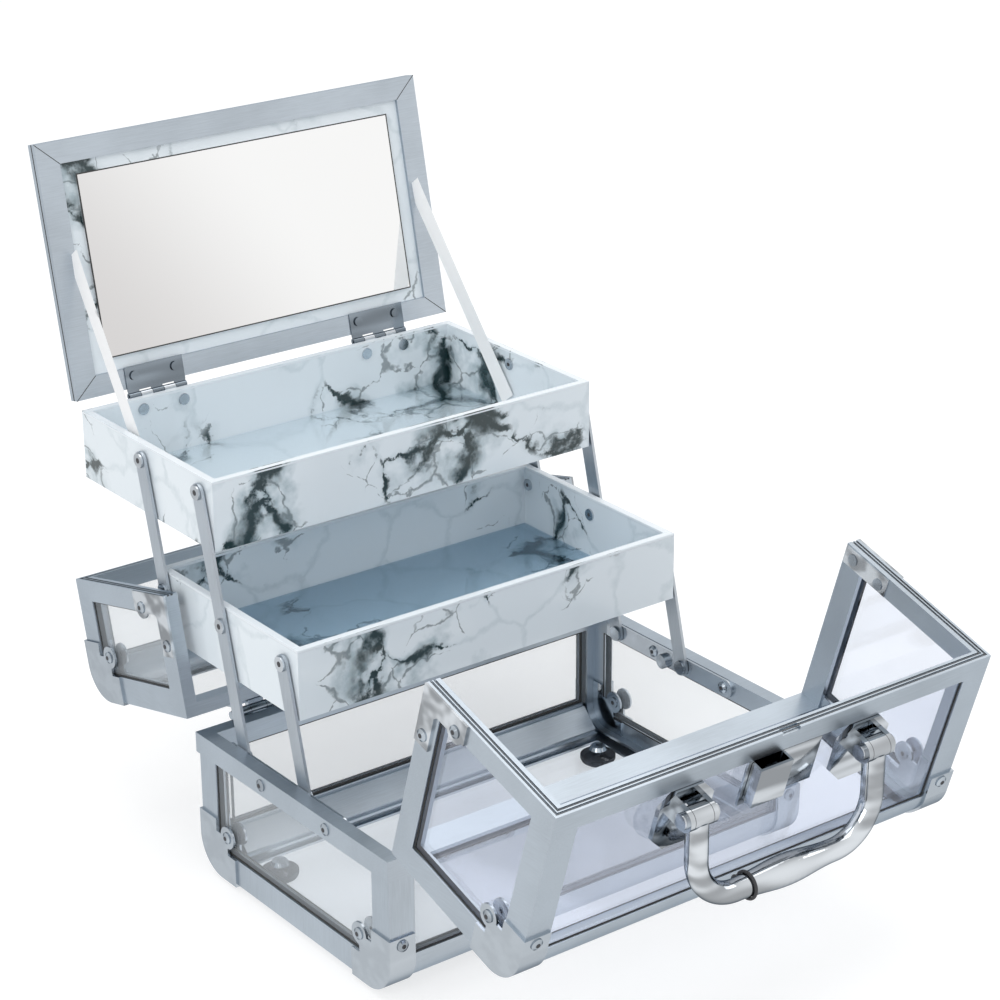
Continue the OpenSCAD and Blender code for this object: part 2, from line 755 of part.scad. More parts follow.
// Hinge rail: a channel round the foot of the flap, open at the seam
module flap_hinge_rail(side) difference() {
    depth = flap_depth[side] - seam_rail_w;
    top = flap_z + hinge_rail_h;
    half = case_w / 2;
    span([-half, 0, flap_z], [half, depth, top]);
    span([-half + flap_wall_t, flap_wall_t, flap_z - 1], [half - flap_wall_t, depth + 1, top + 1]);
    difference() {
        span([-half + skin_t, skin_t, top - panel_grip], [half - skin_t, depth + 1, top + 1]);
        span([-half + panel_in, panel_in, flap_z], [half - panel_in, depth + 2, top + 2]);
    }
}

// Seam rail: a square arch round the seam edge, with panel slots and two lines along its face
module flap_seam_rail(side) difference() {
    depth = flap_depth[side];
    half = case_w / 2;
    slot = depth - seam_rail_w + panel_grip;
    span([-half, depth - seam_rail_w, flap_z], [half, depth, flap_top]);
    span([-half + flap_wall_t, 0, flap_z - 1], [half - flap_wall_t, BIG, flap_top - wall_t]);
    difference() {
        span([-half + skin_t, 0, flap_z + hinge_rail_h - panel_grip],
            [half - skin_t, slot, flap_top - skin_t]);
        span([-half + panel_in, 0, flap_z], [half - panel_in, BIG, flap_top - panel_in]);
    }
    for (at = [skin_t, panel_in - seam_line[0]]) difference() {
        span([-half + at, depth - seam_line[1], flap_z - 1], [half - at, BIG, flap_top - at]);
        span([-half + at + seam_line[0], 0, flap_z - 2],
            [half - at - seam_line[0], BIG, flap_top - at - seam_line[0]]);
    }
}

module flap_top_panel(side) {
    half = case_w / 2 - core_w;
    span([-half, edge_r, flap_top - panel_in],
        [half, flap_depth[side] - seam_rail_w + panel_grip, flap_top - skin_t]);
}

module flap_end_panel() {
    half = case_w / 2 - core_w;
    span([-half, skin_t, flap_z + hinge_rail_h - panel_grip], [half, panel_in, flap_top - edge_r]);
}

module flap_side_panels(side) both() {
    along_x(case_w / 2 - panel_in, case_w / 2 - skin_t) {
        flap_outline(flap_depth[side] - seam_rail_w + panel_grip, core_w, flap_z + hinge_rail_h - panel_grip);
    }
}

module flap_edge_rail() {
    half = case_w / 2 - flange_w;
    along_x(-half, half) translate([0, flap_top]) mirror([0, 1]) edge_section(edge_r - 2.2);
}

module flap_corners() {
    both() translate([case_w / 2, 0, flap_top]) mirror([0, 0, 1]) children();
}

module flap_corner_caps() flap_corners() {
    corner_cap();
    corner_bracket();
}

// Rivets of a catch plate, in its own plane
catch_rivets = [[seam_rail_w * 0.75, catch_side * 0.78], [catch_side * 0.82, hinge_rail_h * 0.4]];

// Catch plate: closes the corner between the seam rail and the hinge rail, on the side face
module catch_plate() {
    area([0, 0], [seam_rail_w, catch_side]);
    area([0, 0], [catch_side, hinge_rail_h * 0.8]);
    polygon([[0, 0], [catch_side * 0.72, 0], [0, catch_side * 0.72]]);
    translate(catch_rivets[0]) circle(cap_lobe_r, $fn = 32);
}

module at_catches(side) both() {
    translate([case_w / 2, flap_depth[side], flap_z]) mirror([0, 1, 0]) children();
}

module flap_catch_plates(side) at_catches(side) difference() {
    along_x(0, cap_t) catch_plate();
    along_x(-1, cap_t + 1) for (p = catch_rivets) translate(p) circle(d = rivet_d + 2 * fit, $fn = 24);
}

module flap_rivets(side) {
    flap(side) {
        flap_corners() {
            cap_rivet_places() rivet(cap_t);
            bracket_rivet();
        }
        at_catches(side) for (p = catch_rivets) {
            translate([cap_t, p[0], p[1]]) rotate([0, 90, 0]) rivet(cap_t);
        }
    }
    flap_leaves(side) leaf_rivets(side, 1) rivet(leaf_t);
}

// Places children at a flap's hinges, opened with the flap
module flap_leaves(side) mirror([0, side, 0]) for (s = [-1, 1]) {
    translate([s * hinge_x, -case_d / 2 - pin_out[side], rim_top + pin_up[side]]) {
        rotate([opened[side], 0, 0]) children();
    }
}

module front_flap_top_panel() color(CLEAR) flap(FRONT) flap_top_panel(FRONT);
module front_flap_front_panel() color(CLEAR) flap(FRONT) flap_end_panel();
module front_flap_side_panels() color(CLEAR) flap(FRONT) flap_side_panels(FRONT);
module front_flap_edge_rail() color(ALU) flap(FRONT) flap_edge_rail();
module front_flap_side_rails() color(ALU) flap(FRONT) flap_side_rails(FRONT);
module front_flap_hinge_rail() color(ALU) flap(FRONT) flap_hinge_rail(FRONT);
module front_flap_corner_caps() color(CHROME) flap(FRONT) flap_corner_caps();
module front_flap_catch_plates() color(CHROME) flap(FRONT) flap_catch_plates(FRONT);
module front_flap_rivets() color(CHROME) flap_rivets(FRONT);
module front_hinge_leaves() color(CHROME) flap_leaves(FRONT) hinge_leaf(FRONT, 1);

// The front seam rail has the slot for the keeper's lip
module front_flap_seam_rail() color(ALU) flap(FRONT) difference() {
    flap_seam_rail(FRONT);
    keeper_slot();
}

module rear_flap_top_panel() color(CLEAR) flap(REAR) flap_top_panel(REAR);
module rear_flap_rear_panel() color(CLEAR) flap(REAR) flap_end_panel();
module rear_flap_side_panels() color(CLEAR) flap(REAR) flap_side_panels(REAR);
module rear_flap_edge_rail() color(ALU) flap(REAR) flap_edge_rail();
module rear_flap_side_rails() color(ALU) flap(REAR) flap_side_rails(REAR);
module rear_flap_seam_rail() color(ALU) flap(REAR) flap_seam_rail(REAR);
module rear_flap_hinge_rail() color(ALU) flap(REAR) flap_hinge_rail(REAR);
module rear_flap_corner_caps() color(CHROME) flap(REAR) flap_corner_caps();
module rear_flap_catch_plates() color(CHROME) flap(REAR) flap_catch_plates(REAR);
module rear_flap_rivets() color(CHROME) flap_rivets(REAR);
module rear_hinge_leaves() color(CHROME) flap_leaves(REAR) hinge_leaf(REAR, 1);

// ------------------------------------------------------------------------------------------ latch

// The keeper's lip drops into this slot, which leaves room for its swing
module keeper_slot() {
    depth = flap_depth[FRONT];
    half = hook_w / 2 + slot_room[0];
    span([latch_x - half, depth - hook_in - slot_room[1], flap_top - hook_down - slot_room[3]],
        [latch_x + half, depth + slot_room[2], flap_top + 1]);
}

// Keeper on the rear flap, with a lip that bends down over the seam; Y runs from the rear to the seam
module latch_keeper() color(CHROME) flap(REAR) difference() {
    depth = flap_depth[REAR];
    low = flap_top;
    hook_far = depth + seam_gap + hook_in;
    half = keeper_w / 2;
    union() {
        span([latch_x - half, depth - seam_rail_w + seam_gap, low],
            [latch_x + half, depth - seam_gap, low + latch_t]);
        span([latch_x - hook_w / 2, depth - latch_t, low],
            [latch_x + hook_w / 2, hook_far, low + latch_t]);
        span([latch_x - hook_w / 2, depth + fit, low - hook_down],
            [latch_x + hook_w / 2, hook_far, low + latch_t]);
    }
    keeper_rivets(depth) rivet_hole(latch_t);
}

module keeper_rivets(depth) for (s = [-1, 1]) {
    translate([latch_x + s * keeper_rivet, depth - seam_rail_w / 2, flap_top + latch_t]) children();
}

// The latch plate lies on the top panel, in front of the seam rail; Y = 0 is its front edge
latch_front = flap_depth[FRONT] - seam_rail_w - latch_size[1] - run_gap;
latch_base = flap_top - skin_t;
lever_left = latch_x - latch_size[0] / 2 + lever_in;
lever_pin = [latch_front + lever_pin_at[0], latch_base + latch_t + lever_pin_at[1]];

module at_lever() translate([0, lever_pin[0], lever_pin[1]]) children();

module latch_plate() color(CHROME) flap(FRONT) {
    left = latch_x - latch_size[0] / 2;
    lug_r = lever_pin_d / 2 + lug_wall;
    side = latch_t + lug_gap;
    span([left, latch_front, latch_base],
        [left + latch_size[0], latch_front + latch_size[1], latch_base + latch_t]);
    for (x = [lever_left + side, lever_left + lever_size[0] - side - lug_t]) {
        span([x, lever_pin[0] - lug_r, latch_base], [x + lug_t, lever_pin[0] + lug_r, lever_pin[1]]);
        at_lever() bar_x(x, x + lug_t, 2 * lug_r, 24);
    }
    at_lever() bar_x(lever_left + run_gap, lever_left + lever_size[0] - run_gap, lever_pin_d, 24);
}

// Hollow lever: a top and two cheeks, open at both ends, that lifts about its rounded front end
module latch_lever() color(CHROME) flap(FRONT) difference() {
    right = lever_left + lever_size[0];
    low = latch_base + latch_t + run_gap;
    high = latch_base + latch_t + latch_h;
    end_r = lever_pin[1] - low;
    front = lever_pin[0] - end_r;
    union() {
        span([lever_left, lever_pin[0], low], [right, front + lever_size[1], high]);
        span([lever_left, front, lever_pin[1]], [right, lever_pin[0], high]);
        at_lever() bar_x(lever_left, right, 2 * end_r);
    }
    span([lever_left + latch_t, front - 1, low - 1],
        [right - latch_t, front + lever_size[1] + 1, high - latch_t]);
    at_lever() bar_x(-BIG, BIG, lever_pin_d + 2 * fit, 24);
}

// ----------------------------------------------------------------------------------------- handle

handle_pin_y = flap_depth[FRONT] - handle_back;
handle_base = flap_top - skin_t;
handle_pin_z = handle_base + handle_pin_up;
eye_d = handle_pin_d + 2 * eye_wall;

// The handle's pivots after the front flap has opened
handle_pivot = turn([handle_pin_y - case_d / 2, handle_pin_z],
    [-case_d / 2 - front_pin_out, rim_top + front_pin_up], front_open);

module at_mounts() for (s = [-1, 1]) translate([s * handle_x, handle_pin_y, handle_base]) children();

// Eight-sided plate with two cheeks that hold the pin
module handle_mounts() color(CHROME) flap(FRONT) at_mounts() difference() {
    cut = mount_cut;
    w = mount_size[0] / 2;
    l = mount_size[1];
    rear = handle_back - seam_rail_w - run_gap;
    cheek = eye_w / 2 + run_gap;
    union() {
        linear_extrude(mount_t) polygon([[-w + cut, rear - l], [w - cut, rear - l], [w, rear - l + cut],
            [w, rear - cut], [w - cut, rear], [-w + cut, rear], [-w, rear - cut], [-w, rear - l + cut]]);
        for (s = [-1, 1]) {
            x0 = s * (cheek + mount_t / 2) - mount_t / 2;
            span([x0, -eye_d / 2, 0], [x0 + mount_t, eye_d / 2, handle_pin_up]);
            translate([0, 0, handle_pin_up]) bar_x(x0, x0 + mount_t, eye_d);
        }
    }
    translate([0, 0, handle_pin_up]) bar_x(-BIG, BIG, handle_pin_d + 2 * fit);
}

module handle_pins() color(CHROME) flap(FRONT) at_mounts() translate([0, 0, handle_pin_up]) {
    end = eye_w / 2 + run_gap + mount_t;
    bar_x(-end, end, handle_pin_d);
    for (s = [0, 1]) mirror([s, 0, 0]) bar_x(end, end + handle_head, handle_pin_d * 1.5);
}

module at_handle() translate([0, handle_pivot[0], handle_pivot[1]]) children();

// A rod bent to a wide U that hangs from its pins, with a thicker grip
module handle() color(CHROME) at_handle() difference() {
    bend = handle_bend_r;
    half = handle_x - bend;
    union() {
        for (s = [0, 1]) mirror([s, 0, 0]) {
            translate([handle_x, 0, 0]) bar_x(-eye_w / 2, eye_w / 2, eye_d);
            translate([handle_x, 0, bend - handle_drop]) {
                cylinder(h = handle_drop - bend - handle_pin_d / 2, d = handle_d, $fn = 32);
            }
            translate([half, 0, bend - handle_drop]) rotate([-90, 0, 0]) {
                rotate_extrude(angle = 90, $fn = 64) translate([bend, 0]) circle(d = handle_d, $fn = 32);
            }
        }
        translate([0, 0, -handle_drop]) rotate([0, 90, 0]) rotate_extrude($fn = 48) polygon([[0, -half],
            [handle_d / 2, -half], for (i = [-8:8]) [grip_radius(i / 8), i / 8 * (half - 1)],
            [handle_d / 2, half], [0, half]]);
    }
    bar_x(-BIG, BIG, handle_pin_d + 2 * fit);
}

// Radius along the grip, from -1 to 1: swells smoothly to the middle
function grip_radius(t) = handle_d / 2 + (grip_d - handle_d) / 2 * (1 + cos(180 * t)) / 2;

// A thin tie looped round the grip
module handle_tie() color(RUBBER) {
    at = -0.8;
    r = grip_radius(at) + tie_d / 2 + fit;
    at_handle() translate([at * (handle_x - handle_bend_r - 1), 0, -handle_drop]) rotate([0, 90, 0]) {
        rotate_extrude($fn = 48) translate([r, 0]) circle(d = tie_d, $fn = 16);
        translate([0, r + tie_d, 0]) sphere(d = 2.2 * tie_d, $fn = 24);
    }
}

// ------------------------------------------------------------------------------------------- arms

// A flat arm in the arm plane, with a hole at each pivot
module arm(from, count) difference() {
    translate([0, from[0], from[1]]) rotate([-arm_lean, 0, 0]) {
        span([arm_inner, -arm_w / 2, 0], [arm_outer, arm_w / 2, count * arm_l]);
        for (z = [0, count * arm_l]) translate([0, 0, z]) bar_x(arm_inner, arm_outer, arm_w);
    }
    for (i = [0:count]) {
        p = from + i * step;
        translate([0, p[0], p[1]]) bar_x(arm_inner - 1, arm_outer + 1, stud_d + 2 * fit);
    }
}

module long_arms() color(ALU) both() arm(b0, 2);
module front_arms() color(ALU) both() arm(c0, 1);
module rear_arms() color(ALU) both() arm(a1, 1);

// A stud through a tray wall and an arm, with a flat head at each end
module tray_stud(p) translate([0, p[0], p[1]]) {
    wall = tray_w / 2 - tray_wall;
    bar_x(wall - eyelet_h, wall, eyelet_d);
    bar_x(wall, arm_outer + fit, stud_d);
    bar_x(tray_w / 2, arm_inner - fit, spacer_d);
    bar_x(arm_outer + fit, arm_outer + fit + stud_head_h, stud_head_d);
}

module lower_tray_pivots() color(CHROME) both() for (p = [b1, c1, a1]) tray_stud(p);
module upper_tray_pivots() color(CHROME) both() for (p = [b2, a2]) tray_stud(p);

// ------------------------------------------------------------------------------------------ trays

module tray(front, low, pivots) difference() {
    half = tray_w / 2;
    span([-half, front, low], [half, front + tray_d, low + tray_h]);
    span([-half + tray_wall, front + tray_wall, low + tray_floor],
        [half - tray_wall, front + tray_d - tray_wall, low + tray_h + 1]);
    for (p = pivots) translate([0, p[0], p[1]]) bar_x(-BIG, BIG, stud_d + 2 * fit);
}

module lower_tray() color(PRINT) tray(lower_front, lower_z, [b1, c1, a1]);

module upper_tray() color(PRINT) difference() {
    tray(upper_front, upper_z, [b2, a2]);
    tray_leaf_rivets() rivet_hole(tray_wall + lid_leaf_t);
}

// --------------------------------------------------------------------------------- lid and straps

// Turns what is drawn for the shut lid to the open one
module lid() turned(lid_axis, -lid_open) children();

// The shut lid's outline between two heights, set in from its sides, upper and lower edge
module lid_slab(low, high, inset) {
    span([-lid_w / 2 + inset[0], lid_low - lid_d + inset[1], lid_layer + low],
        [lid_w / 2 - inset[0], lid_low - inset[2], lid_layer + high]);
}

board_in = lid_border - [1.5, 1.5, 1.5];

module lid_frame() color(ALU) lid() difference() {
    lid_slab(0, lid_t, [0, 0, 0]);
    lid_slab(-1, lid_t + 1, lid_border);
    lid_slab(lid_lip_t, lid_lip_t + board_t, board_in);
    lid_rivet_places() translate([0, 0, -1.5]) cylinder(h = 3, d = rivet_d * 0.7 + 2 * fit, $fn = 24);
}

module lid_board() color(PRINT) lid() lid_slab(lid_lip_t, lid_lip_t + board_t, board_in);

module mirror_glass() color("#e9edf0") lid() {
    lid_slab(lid_lip_t - glass_t, lid_lip_t, lid_border + print_border);
}

// Hinges of the lid: origin on the pin, at the middle of each hinge
module at_lid_hinges() for (s = [-1, 1]) translate([s * lid_hinge_x, lid_axis[0], lid_axis[1]]) children();

module lid_knuckles(part) {
    count = 5;
    w = lid_hinge_w / count;
    for (i = [part:2:count - 1]) {
        x0 = -lid_hinge_w / 2 + i * w + run_gap / 2;
        bar_x(x0, x0 + w - run_gap, lid_knuckle_d, 24);
        if (part == 0) {
            span([x0, -lid_set_off + 0.5, lid_pin_up - lid_leaf_t], [x0 + w - run_gap, 0, lid_pin_up]);
        } else {
            span([x0, -lid_pin_out, -lid_knuckle_d * 0.7],
                [x0 + w - run_gap, -lid_pin_out + lid_leaf_t, lid_pin_up - fit]);
        }
    }
}

module lid_rivet_places() at_lid_hinges() for (s = [-1, 1]) {
    translate([s * 9.5, -lid_set_off - 5, lid_pin_up - lid_leaf_t]) children();
}

module lid_hinge_leaves() color(CHROME) lid() {
    difference() {
        at_lid_hinges() difference() {
            union() {
                lid_knuckles(0);
                span([-lid_hinge_w / 2, -lid_set_off - 9, lid_pin_up - lid_leaf_t],
                    [lid_hinge_w / 2, -lid_pin_out - 0.4, lid_pin_up]);
            }
            bar_x(-BIG, BIG, lid_pin_d + 2 * fit, 24);
        }
        lid_rivet_places() cylinder(h = 3, d = rivet_d * 0.7 + 2 * fit, center = true, $fn = 24);
    }
    lid_rivet_places() {
        translate([0, 0, -0.8]) cylinder(h = 0.8, d = rivet_head_d * 0.8, $fn = 24);
        cylinder(h = 1.2, d = rivet_d * 0.7, $fn = 24);
    }
}

module tray_leaf_rivets() at_lid_hinges() for (s = [-1, 1]) {
    translate([s * 9.5, -lid_pin_out + lid_leaf_t, -lid_pin_up - 4.5]) rotate([-90, 0, 0]) children();
}

module tray_hinge_leaves() color(CHROME) {
    difference() {
        at_lid_hinges() difference() {
            union() {
                lid_knuckles(1);
                span([-lid_hinge_w / 2, -lid_pin_out, -lid_pin_up - 8.5],
                    [lid_hinge_w / 2, -lid_pin_out + lid_leaf_t, -lid_knuckle_d * 0.6]);
            }
            bar_x(-BIG, BIG, lid_pin_d + 2 * fit, 24);
        }
        tray_leaf_rivets() rivet_hole(tray_wall + lid_leaf_t);
    }
    tray_leaf_rivets() {
        rivet(tray_wall + lid_leaf_t);
        translate([0, 0, -tray_wall - lid_leaf_t - 0.6]) cylinder(h = 0.6, d = rivet_head_d, $fn = 24);
    }
}

module lid_hinge_pins() color(CHROME) at_lid_hinges() {
    bar_x(-lid_hinge_w / 2 - 0.3, lid_hinge_w / 2 + 0.3, lid_pin_d, 24);
}

// Ribbon from the inner side wall of the upper tray to the lid's frame
module lid_straps() color(WHITE) both() {
    low_x = tray_w / 2 - tray_wall - strap_gap - strap_t;
    high = turn([lid_low - strap_high, lid_layer - strap_gap], lid_axis, -lid_open);
    run = high - strap_low;
    hull() {
        translate([low_x, strap_low[0], strap_low[1]]) rotate([atan2(run[1], run[0]), 0, 0]) {
            translate([0, 0, -strap_w / 2]) cube([strap_t, strap_t, strap_w]);
        }
        translate([low_x - strap_lean, high[0], high[1]]) rotate([-lid_open, 0, 0]) {
            translate([0, -strap_w / 2, -strap_t]) cube([strap_t, strap_w, strap_t]);
        }
    }
}

base_floor_panel();
base_front_panel();
base_rear_panel();
base_side_panels();
base_bottom_rails();
base_corner_angles();
base_rim();
base_corner_caps();
base_corner_brackets();
base_rivets();
rubber_feet();
foot_screws();
pivot_strips();
base_pivot_studs();
base_hinge_leaves();
front_hinge_pins();
rear_hinge_pins();
front_flap_top_panel();
front_flap_front_panel();
front_flap_side_panels();
front_flap_edge_rail();
front_flap_side_rails();
front_flap_seam_rail();
front_flap_hinge_rail();
front_flap_corner_caps();
front_flap_catch_plates();
front_flap_rivets();
front_hinge_leaves();
handle_mounts();
handle_pins();
handle();
handle_tie();
latch_plate();
latch_lever();
rear_flap_top_panel();
rear_flap_rear_panel();
rear_flap_side_panels();
rear_flap_edge_rail();
rear_flap_side_rails();
rear_flap_seam_rail();
rear_flap_hinge_rail();
rear_flap_corner_caps();
rear_flap_catch_plates();
rear_flap_rivets();
rear_hinge_leaves();
latch_keeper();
long_arms();
front_arms();
rear_arms();
lower_tray_pivots();
upper_tray_pivots();
lower_tray();
upper_tray();
tray_hinge_leaves();
lid_hinge_pins();
lid_frame();
lid_board();
mirror_glass();
lid_hinge_leaves();
lid_straps();
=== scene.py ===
"""Looks of a clear cosmetics case that stands open, with marbled trays and a mirror lid."""

from __future__ import annotations

import logging
import math
from dataclasses import dataclass, field
from enum import Enum

import bmesh
import bpy
from mathutils import Matrix, Vector

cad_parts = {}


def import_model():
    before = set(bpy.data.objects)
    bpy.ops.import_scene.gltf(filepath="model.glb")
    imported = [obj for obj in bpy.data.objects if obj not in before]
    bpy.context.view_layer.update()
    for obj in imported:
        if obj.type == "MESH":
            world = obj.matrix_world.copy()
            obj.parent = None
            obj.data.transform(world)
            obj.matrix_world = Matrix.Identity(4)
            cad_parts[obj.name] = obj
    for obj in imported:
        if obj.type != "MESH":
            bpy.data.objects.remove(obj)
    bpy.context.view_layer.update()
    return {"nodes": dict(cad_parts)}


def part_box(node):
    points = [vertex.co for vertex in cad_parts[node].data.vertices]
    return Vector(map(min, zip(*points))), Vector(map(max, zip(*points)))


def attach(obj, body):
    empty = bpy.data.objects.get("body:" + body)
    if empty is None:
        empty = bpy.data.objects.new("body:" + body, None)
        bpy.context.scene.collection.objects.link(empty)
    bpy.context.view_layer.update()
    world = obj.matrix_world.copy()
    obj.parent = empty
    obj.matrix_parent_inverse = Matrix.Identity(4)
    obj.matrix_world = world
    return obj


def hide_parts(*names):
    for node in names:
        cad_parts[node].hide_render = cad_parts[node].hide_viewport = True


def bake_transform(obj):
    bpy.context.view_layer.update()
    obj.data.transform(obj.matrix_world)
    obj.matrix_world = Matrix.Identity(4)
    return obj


LOG = logging.getLogger("cosmetics_case")
MM = 0.001
Colour = tuple[float, float, float, float]
Value = "float | Socket"


# ------------------------------------------------------------------------------------ shader maths


class Socket:
    """One value in a material's node tree, with arithmetic that adds Math nodes."""

    def __init__(self, graph: "Graph", link: bpy.types.NodeSocket) -> None:
        """Wraps an output socket of a graph."""
        self.graph = graph
        self.link = link

    def _math(self, operation: str, *values: Value) -> "Socket":
        """Adds one Math node on these values."""
        return self.graph.node("ShaderNodeMath", {"operation": operation}, dict(enumerate(values)))

    def __add__(self, other: Value) -> "Socket":
        """Sum."""
        return self._math("ADD", self, other)

    __radd__ = __add__

    def __sub__(self, other: Value) -> "Socket":
        """Difference."""
        return self._math("SUBTRACT", self, other)

    def __rsub__(self, other: Value) -> "Socket":
        """Difference the other way."""
        return self._math("SUBTRACT", other, self)

    def __mul__(self, other: Value) -> "Socket":
        """Product."""
        return self._math("MULTIPLY", self, other)

    def __truediv__(self, other: Value) -> "Socket":
        """Quotient."""
        return self._math("DIVIDE", self, other)

    def __pow__(self, other: Value) -> "Socket":
        """Power."""
        return self._math("POWER", self, other)

    def most(self, other: Value) -> "Socket":
        """The larger of two values."""
        return self._math("MAXIMUM", self, other)

    def least(self, other: Value) -> "Socket":
        """The smaller of two values."""
        return self._math("MINIMUM", self, other)

    def between(self, low: float, high: float) -> "Socket":
        """A smooth step from 0 at low to 1 at high; low may be the larger one."""
        settings = {"interpolation_type": "SMOOTHSTEP", "clamp": True}
        inputs = {"Value": self, "From Min": low, "From Max": high}
        return self.graph.node("ShaderNodeMapRange", settings, inputs)


class Graph:
    """The node tree of a material or a world."""

    def __init__(self, tree: bpy.types.NodeTree) -> None:
        """Clears the tree and starts it again."""
        self.tree = tree
        self.tree.nodes.clear()
        self._coords: bpy.types.Node | None = None

    def node(self, kind: str, settings: dict | None = None, inputs: dict | None = None,
             out: str | int = 0) -> Socket:
        """Adds a node.

        Args:
            kind: The node's type.
            settings: Attributes, set before the inputs.
            inputs: Values or sockets by input name or number.
            out: Name or number of the output to hand back.

        Returns:
            The chosen output, wrapped.
        """
        made = self.tree.nodes.new(kind)
        for name, value in (settings or {}).items():
            setattr(made, name, value)
        for name, value in (inputs or {}).items():
            target = made.inputs[name]
            if isinstance(value, Socket):
                self.tree.links.new(value.link, target)
            else:
                target.default_value = value
        return Socket(self, made.outputs[out])

    def coords(self) -> Socket:
        """Object coordinates, in metres."""
        if self._coords is None:
            self._coords = self.tree.nodes.new("ShaderNodeTexCoord")
        return Socket(self, self._coords.outputs["Object"])

    def stretched(self, scale: Vector) -> Socket:
        """Object coordinates after a stretch."""
        return self.node("ShaderNodeMapping", None, {"Vector": self.coords(), "Scale": scale})

    def noise(self, vector: Socket, scale: float, detail: float = 2.0, rough: float = 0.5,
              warp: float = 0.0) -> Socket:
        """A noise value from 0 to 1."""
        inputs = {"Vector": vector, "Scale": scale, "Detail": detail, "Roughness": rough,
                  "Distortion": warp}
        return self.node("ShaderNodeTexNoise", None, inputs, "Fac")

    def mix(self, share: Value, first: Colour | Socket, second: Colour | Socket) -> Socket:
        """Mixes two colours."""
        return self.node("ShaderNodeMix", {"data_type": "RGBA"}, {0: share, 6: first, 7: second}, 2)

    def bump(self, height: Socket, strength: float, depth: float) -> Socket:
        """A normal raised by a height."""
        return self.node("ShaderNodeBump", None, {"Height": height, "Strength": strength, "Distance": depth})

    def finish(self, shader: Socket, output: str = "ShaderNodeOutputMaterial") -> None:
        """Ends the tree in its output."""
        made = self.tree.nodes.new(output)
        self.tree.links.new(shader.link, made.inputs["Surface"])


def grey(level: float, tint: float = 0.0) -> Colour:
    """A grey, with a little blue if tint is above 0."""
    return (level * (1 - tint), level, min(level * (1 + tint), 1.0), 1.0)


# ----------------------------------------------------------------------------------------- finishes


@dataclass(frozen=True)
class Finish:
    """A surface finish that becomes one material."""

    name: str

    def material(self) -> bpy.types.Material:
        """Makes the material, or hands back the one made before."""
        made = bpy.data.materials.get(self.name)
        if made is None:
            made = bpy.data.materials.new(self.name)
            made.use_nodes = True
            self.build(Graph(made.node_tree))
        return made

    def build(self, graph: Graph) -> None:
        """Fills the node tree."""
        raise NotImplementedError


class Grain(Enum):
    """The direction of the drawn lines on a rail."""

    ALONG_X = (0.04, 1.0, 1.0)
    ALONG_Y = (1.0, 0.04, 1.0)
    ALONG_Z = (1.0, 1.0, 0.04)


@dataclass(frozen=True)
class SatinRail(Finish):
    """Anodised aluminium with faint drawn lines."""

    grain: Grain
    level: float = 0.53
    tint: float = 0.1
    spread: float = 0.1
    rough: float = 0.25
    line_scale: float = 2600.0
    cloud_scale: float = 24.0

    def build(self, graph: Graph) -> None:
        """Fine lines along the rail vary the roughness and the shade."""
        lines = graph.noise(graph.stretched(Vector(self.grain.value)), self.line_scale, rough=0.6)
        cloud = graph.noise(graph.coords(), self.cloud_scale, detail=3.0)
        shade = (lines * 0.4 + cloud * 0.6).between(0.3, 0.7)
        colour = graph.mix(shade, grey(self.level * (1 - self.spread), self.tint),
                           grey(self.level * (1 + self.spread), self.tint))
        rough = self.rough + lines * 0.1 + cloud * 0.06
        inputs = {"Base Color": colour, "Metallic": 1.0, "Roughness": rough,
                  "Specular Tint": grey(0.55, 0.1), "Normal": graph.bump(lines, 0.12, 0.0001)}
        graph.finish(graph.node("ShaderNodeBsdfPrincipled", None, inputs))


@dataclass(frozen=True)
class Plated(Finish):
    """Bright plated steel with faint handling marks."""

    level: float = 0.62
    rough: float = 0.06
    edge: float = 0.25
    tint: float = 0.05
    streak: float = 0.12
    smear_scale: float = 140.0
    pit_scale: float = 1800.0
    streak_scale: float = 60.0
    streak_way: tuple[float, float, float] = (0.25, 2.0, 2.6)

    def build(self, graph: Graph) -> None:
        """Smears vary a low roughness, soft streaks vary the shade, and pits raise the surface."""
        smear = graph.noise(graph.coords(), self.smear_scale, detail=5.0, rough=0.6, warp=0.6)
        pits = graph.noise(graph.coords(), self.pit_scale, detail=1.0)
        rough = self.rough + smear.between(0.45, 0.75) * 0.03
        streaks = graph.noise(graph.stretched(Vector(self.streak_way)), self.streak_scale, detail=1.0)
        shade = streaks.between(0.36, 0.64)
        colour = graph.mix(shade, grey(self.level * (1 - self.streak), self.tint),
                           grey(self.level * (1 + self.streak), self.tint))
        inputs = {"Base Color": colour, "Metallic": 1.0, "Roughness": rough,
                  "Specular Tint": grey(self.edge, 0.1), "Normal": graph.bump(pits, 0.03, 0.0001)}
        graph.finish(graph.node("ShaderNodeBsdfPrincipled", None, inputs))


@dataclass(frozen=True)
class ClearSheet(Finish):
    """Clear acrylic sheet: mostly see-through, with a gloss that grows towards grazing views."""

    tint: Colour = (0.925, 0.95, 0.975, 1.0)
    low: float = 0.06
    gain: float = 0.8
    gloss: Colour = (0.74, 0.77, 0.85, 1.0)

    def build(self, graph: Graph) -> None:
        """Mixes a tinted see-through shader with a gloss that grows as the view grazes the sheet."""
        graze = graph.node("ShaderNodeLayerWeight", None, {"Blend": 0.5}, "Facing")
        haze = graph.noise(graph.coords(), 30.0, 3.0)
        share = (self.low + graze ** 5 * self.gain + haze.between(0.35, 0.75) * 0.04).least(1.0)
        through = graph.node("ShaderNodeBsdfTransparent", None, {"Color": self.tint})
        inputs = {"Base Color": self.gloss, "Metallic": 1.0, "Roughness": 0.03 + haze * 0.03}
        gloss = graph.node("ShaderNodeBsdfPrincipled", None, inputs)
        graph.finish(graph.node("ShaderNodeMixShader", None, {0: share, 1: through, 2: gloss}))


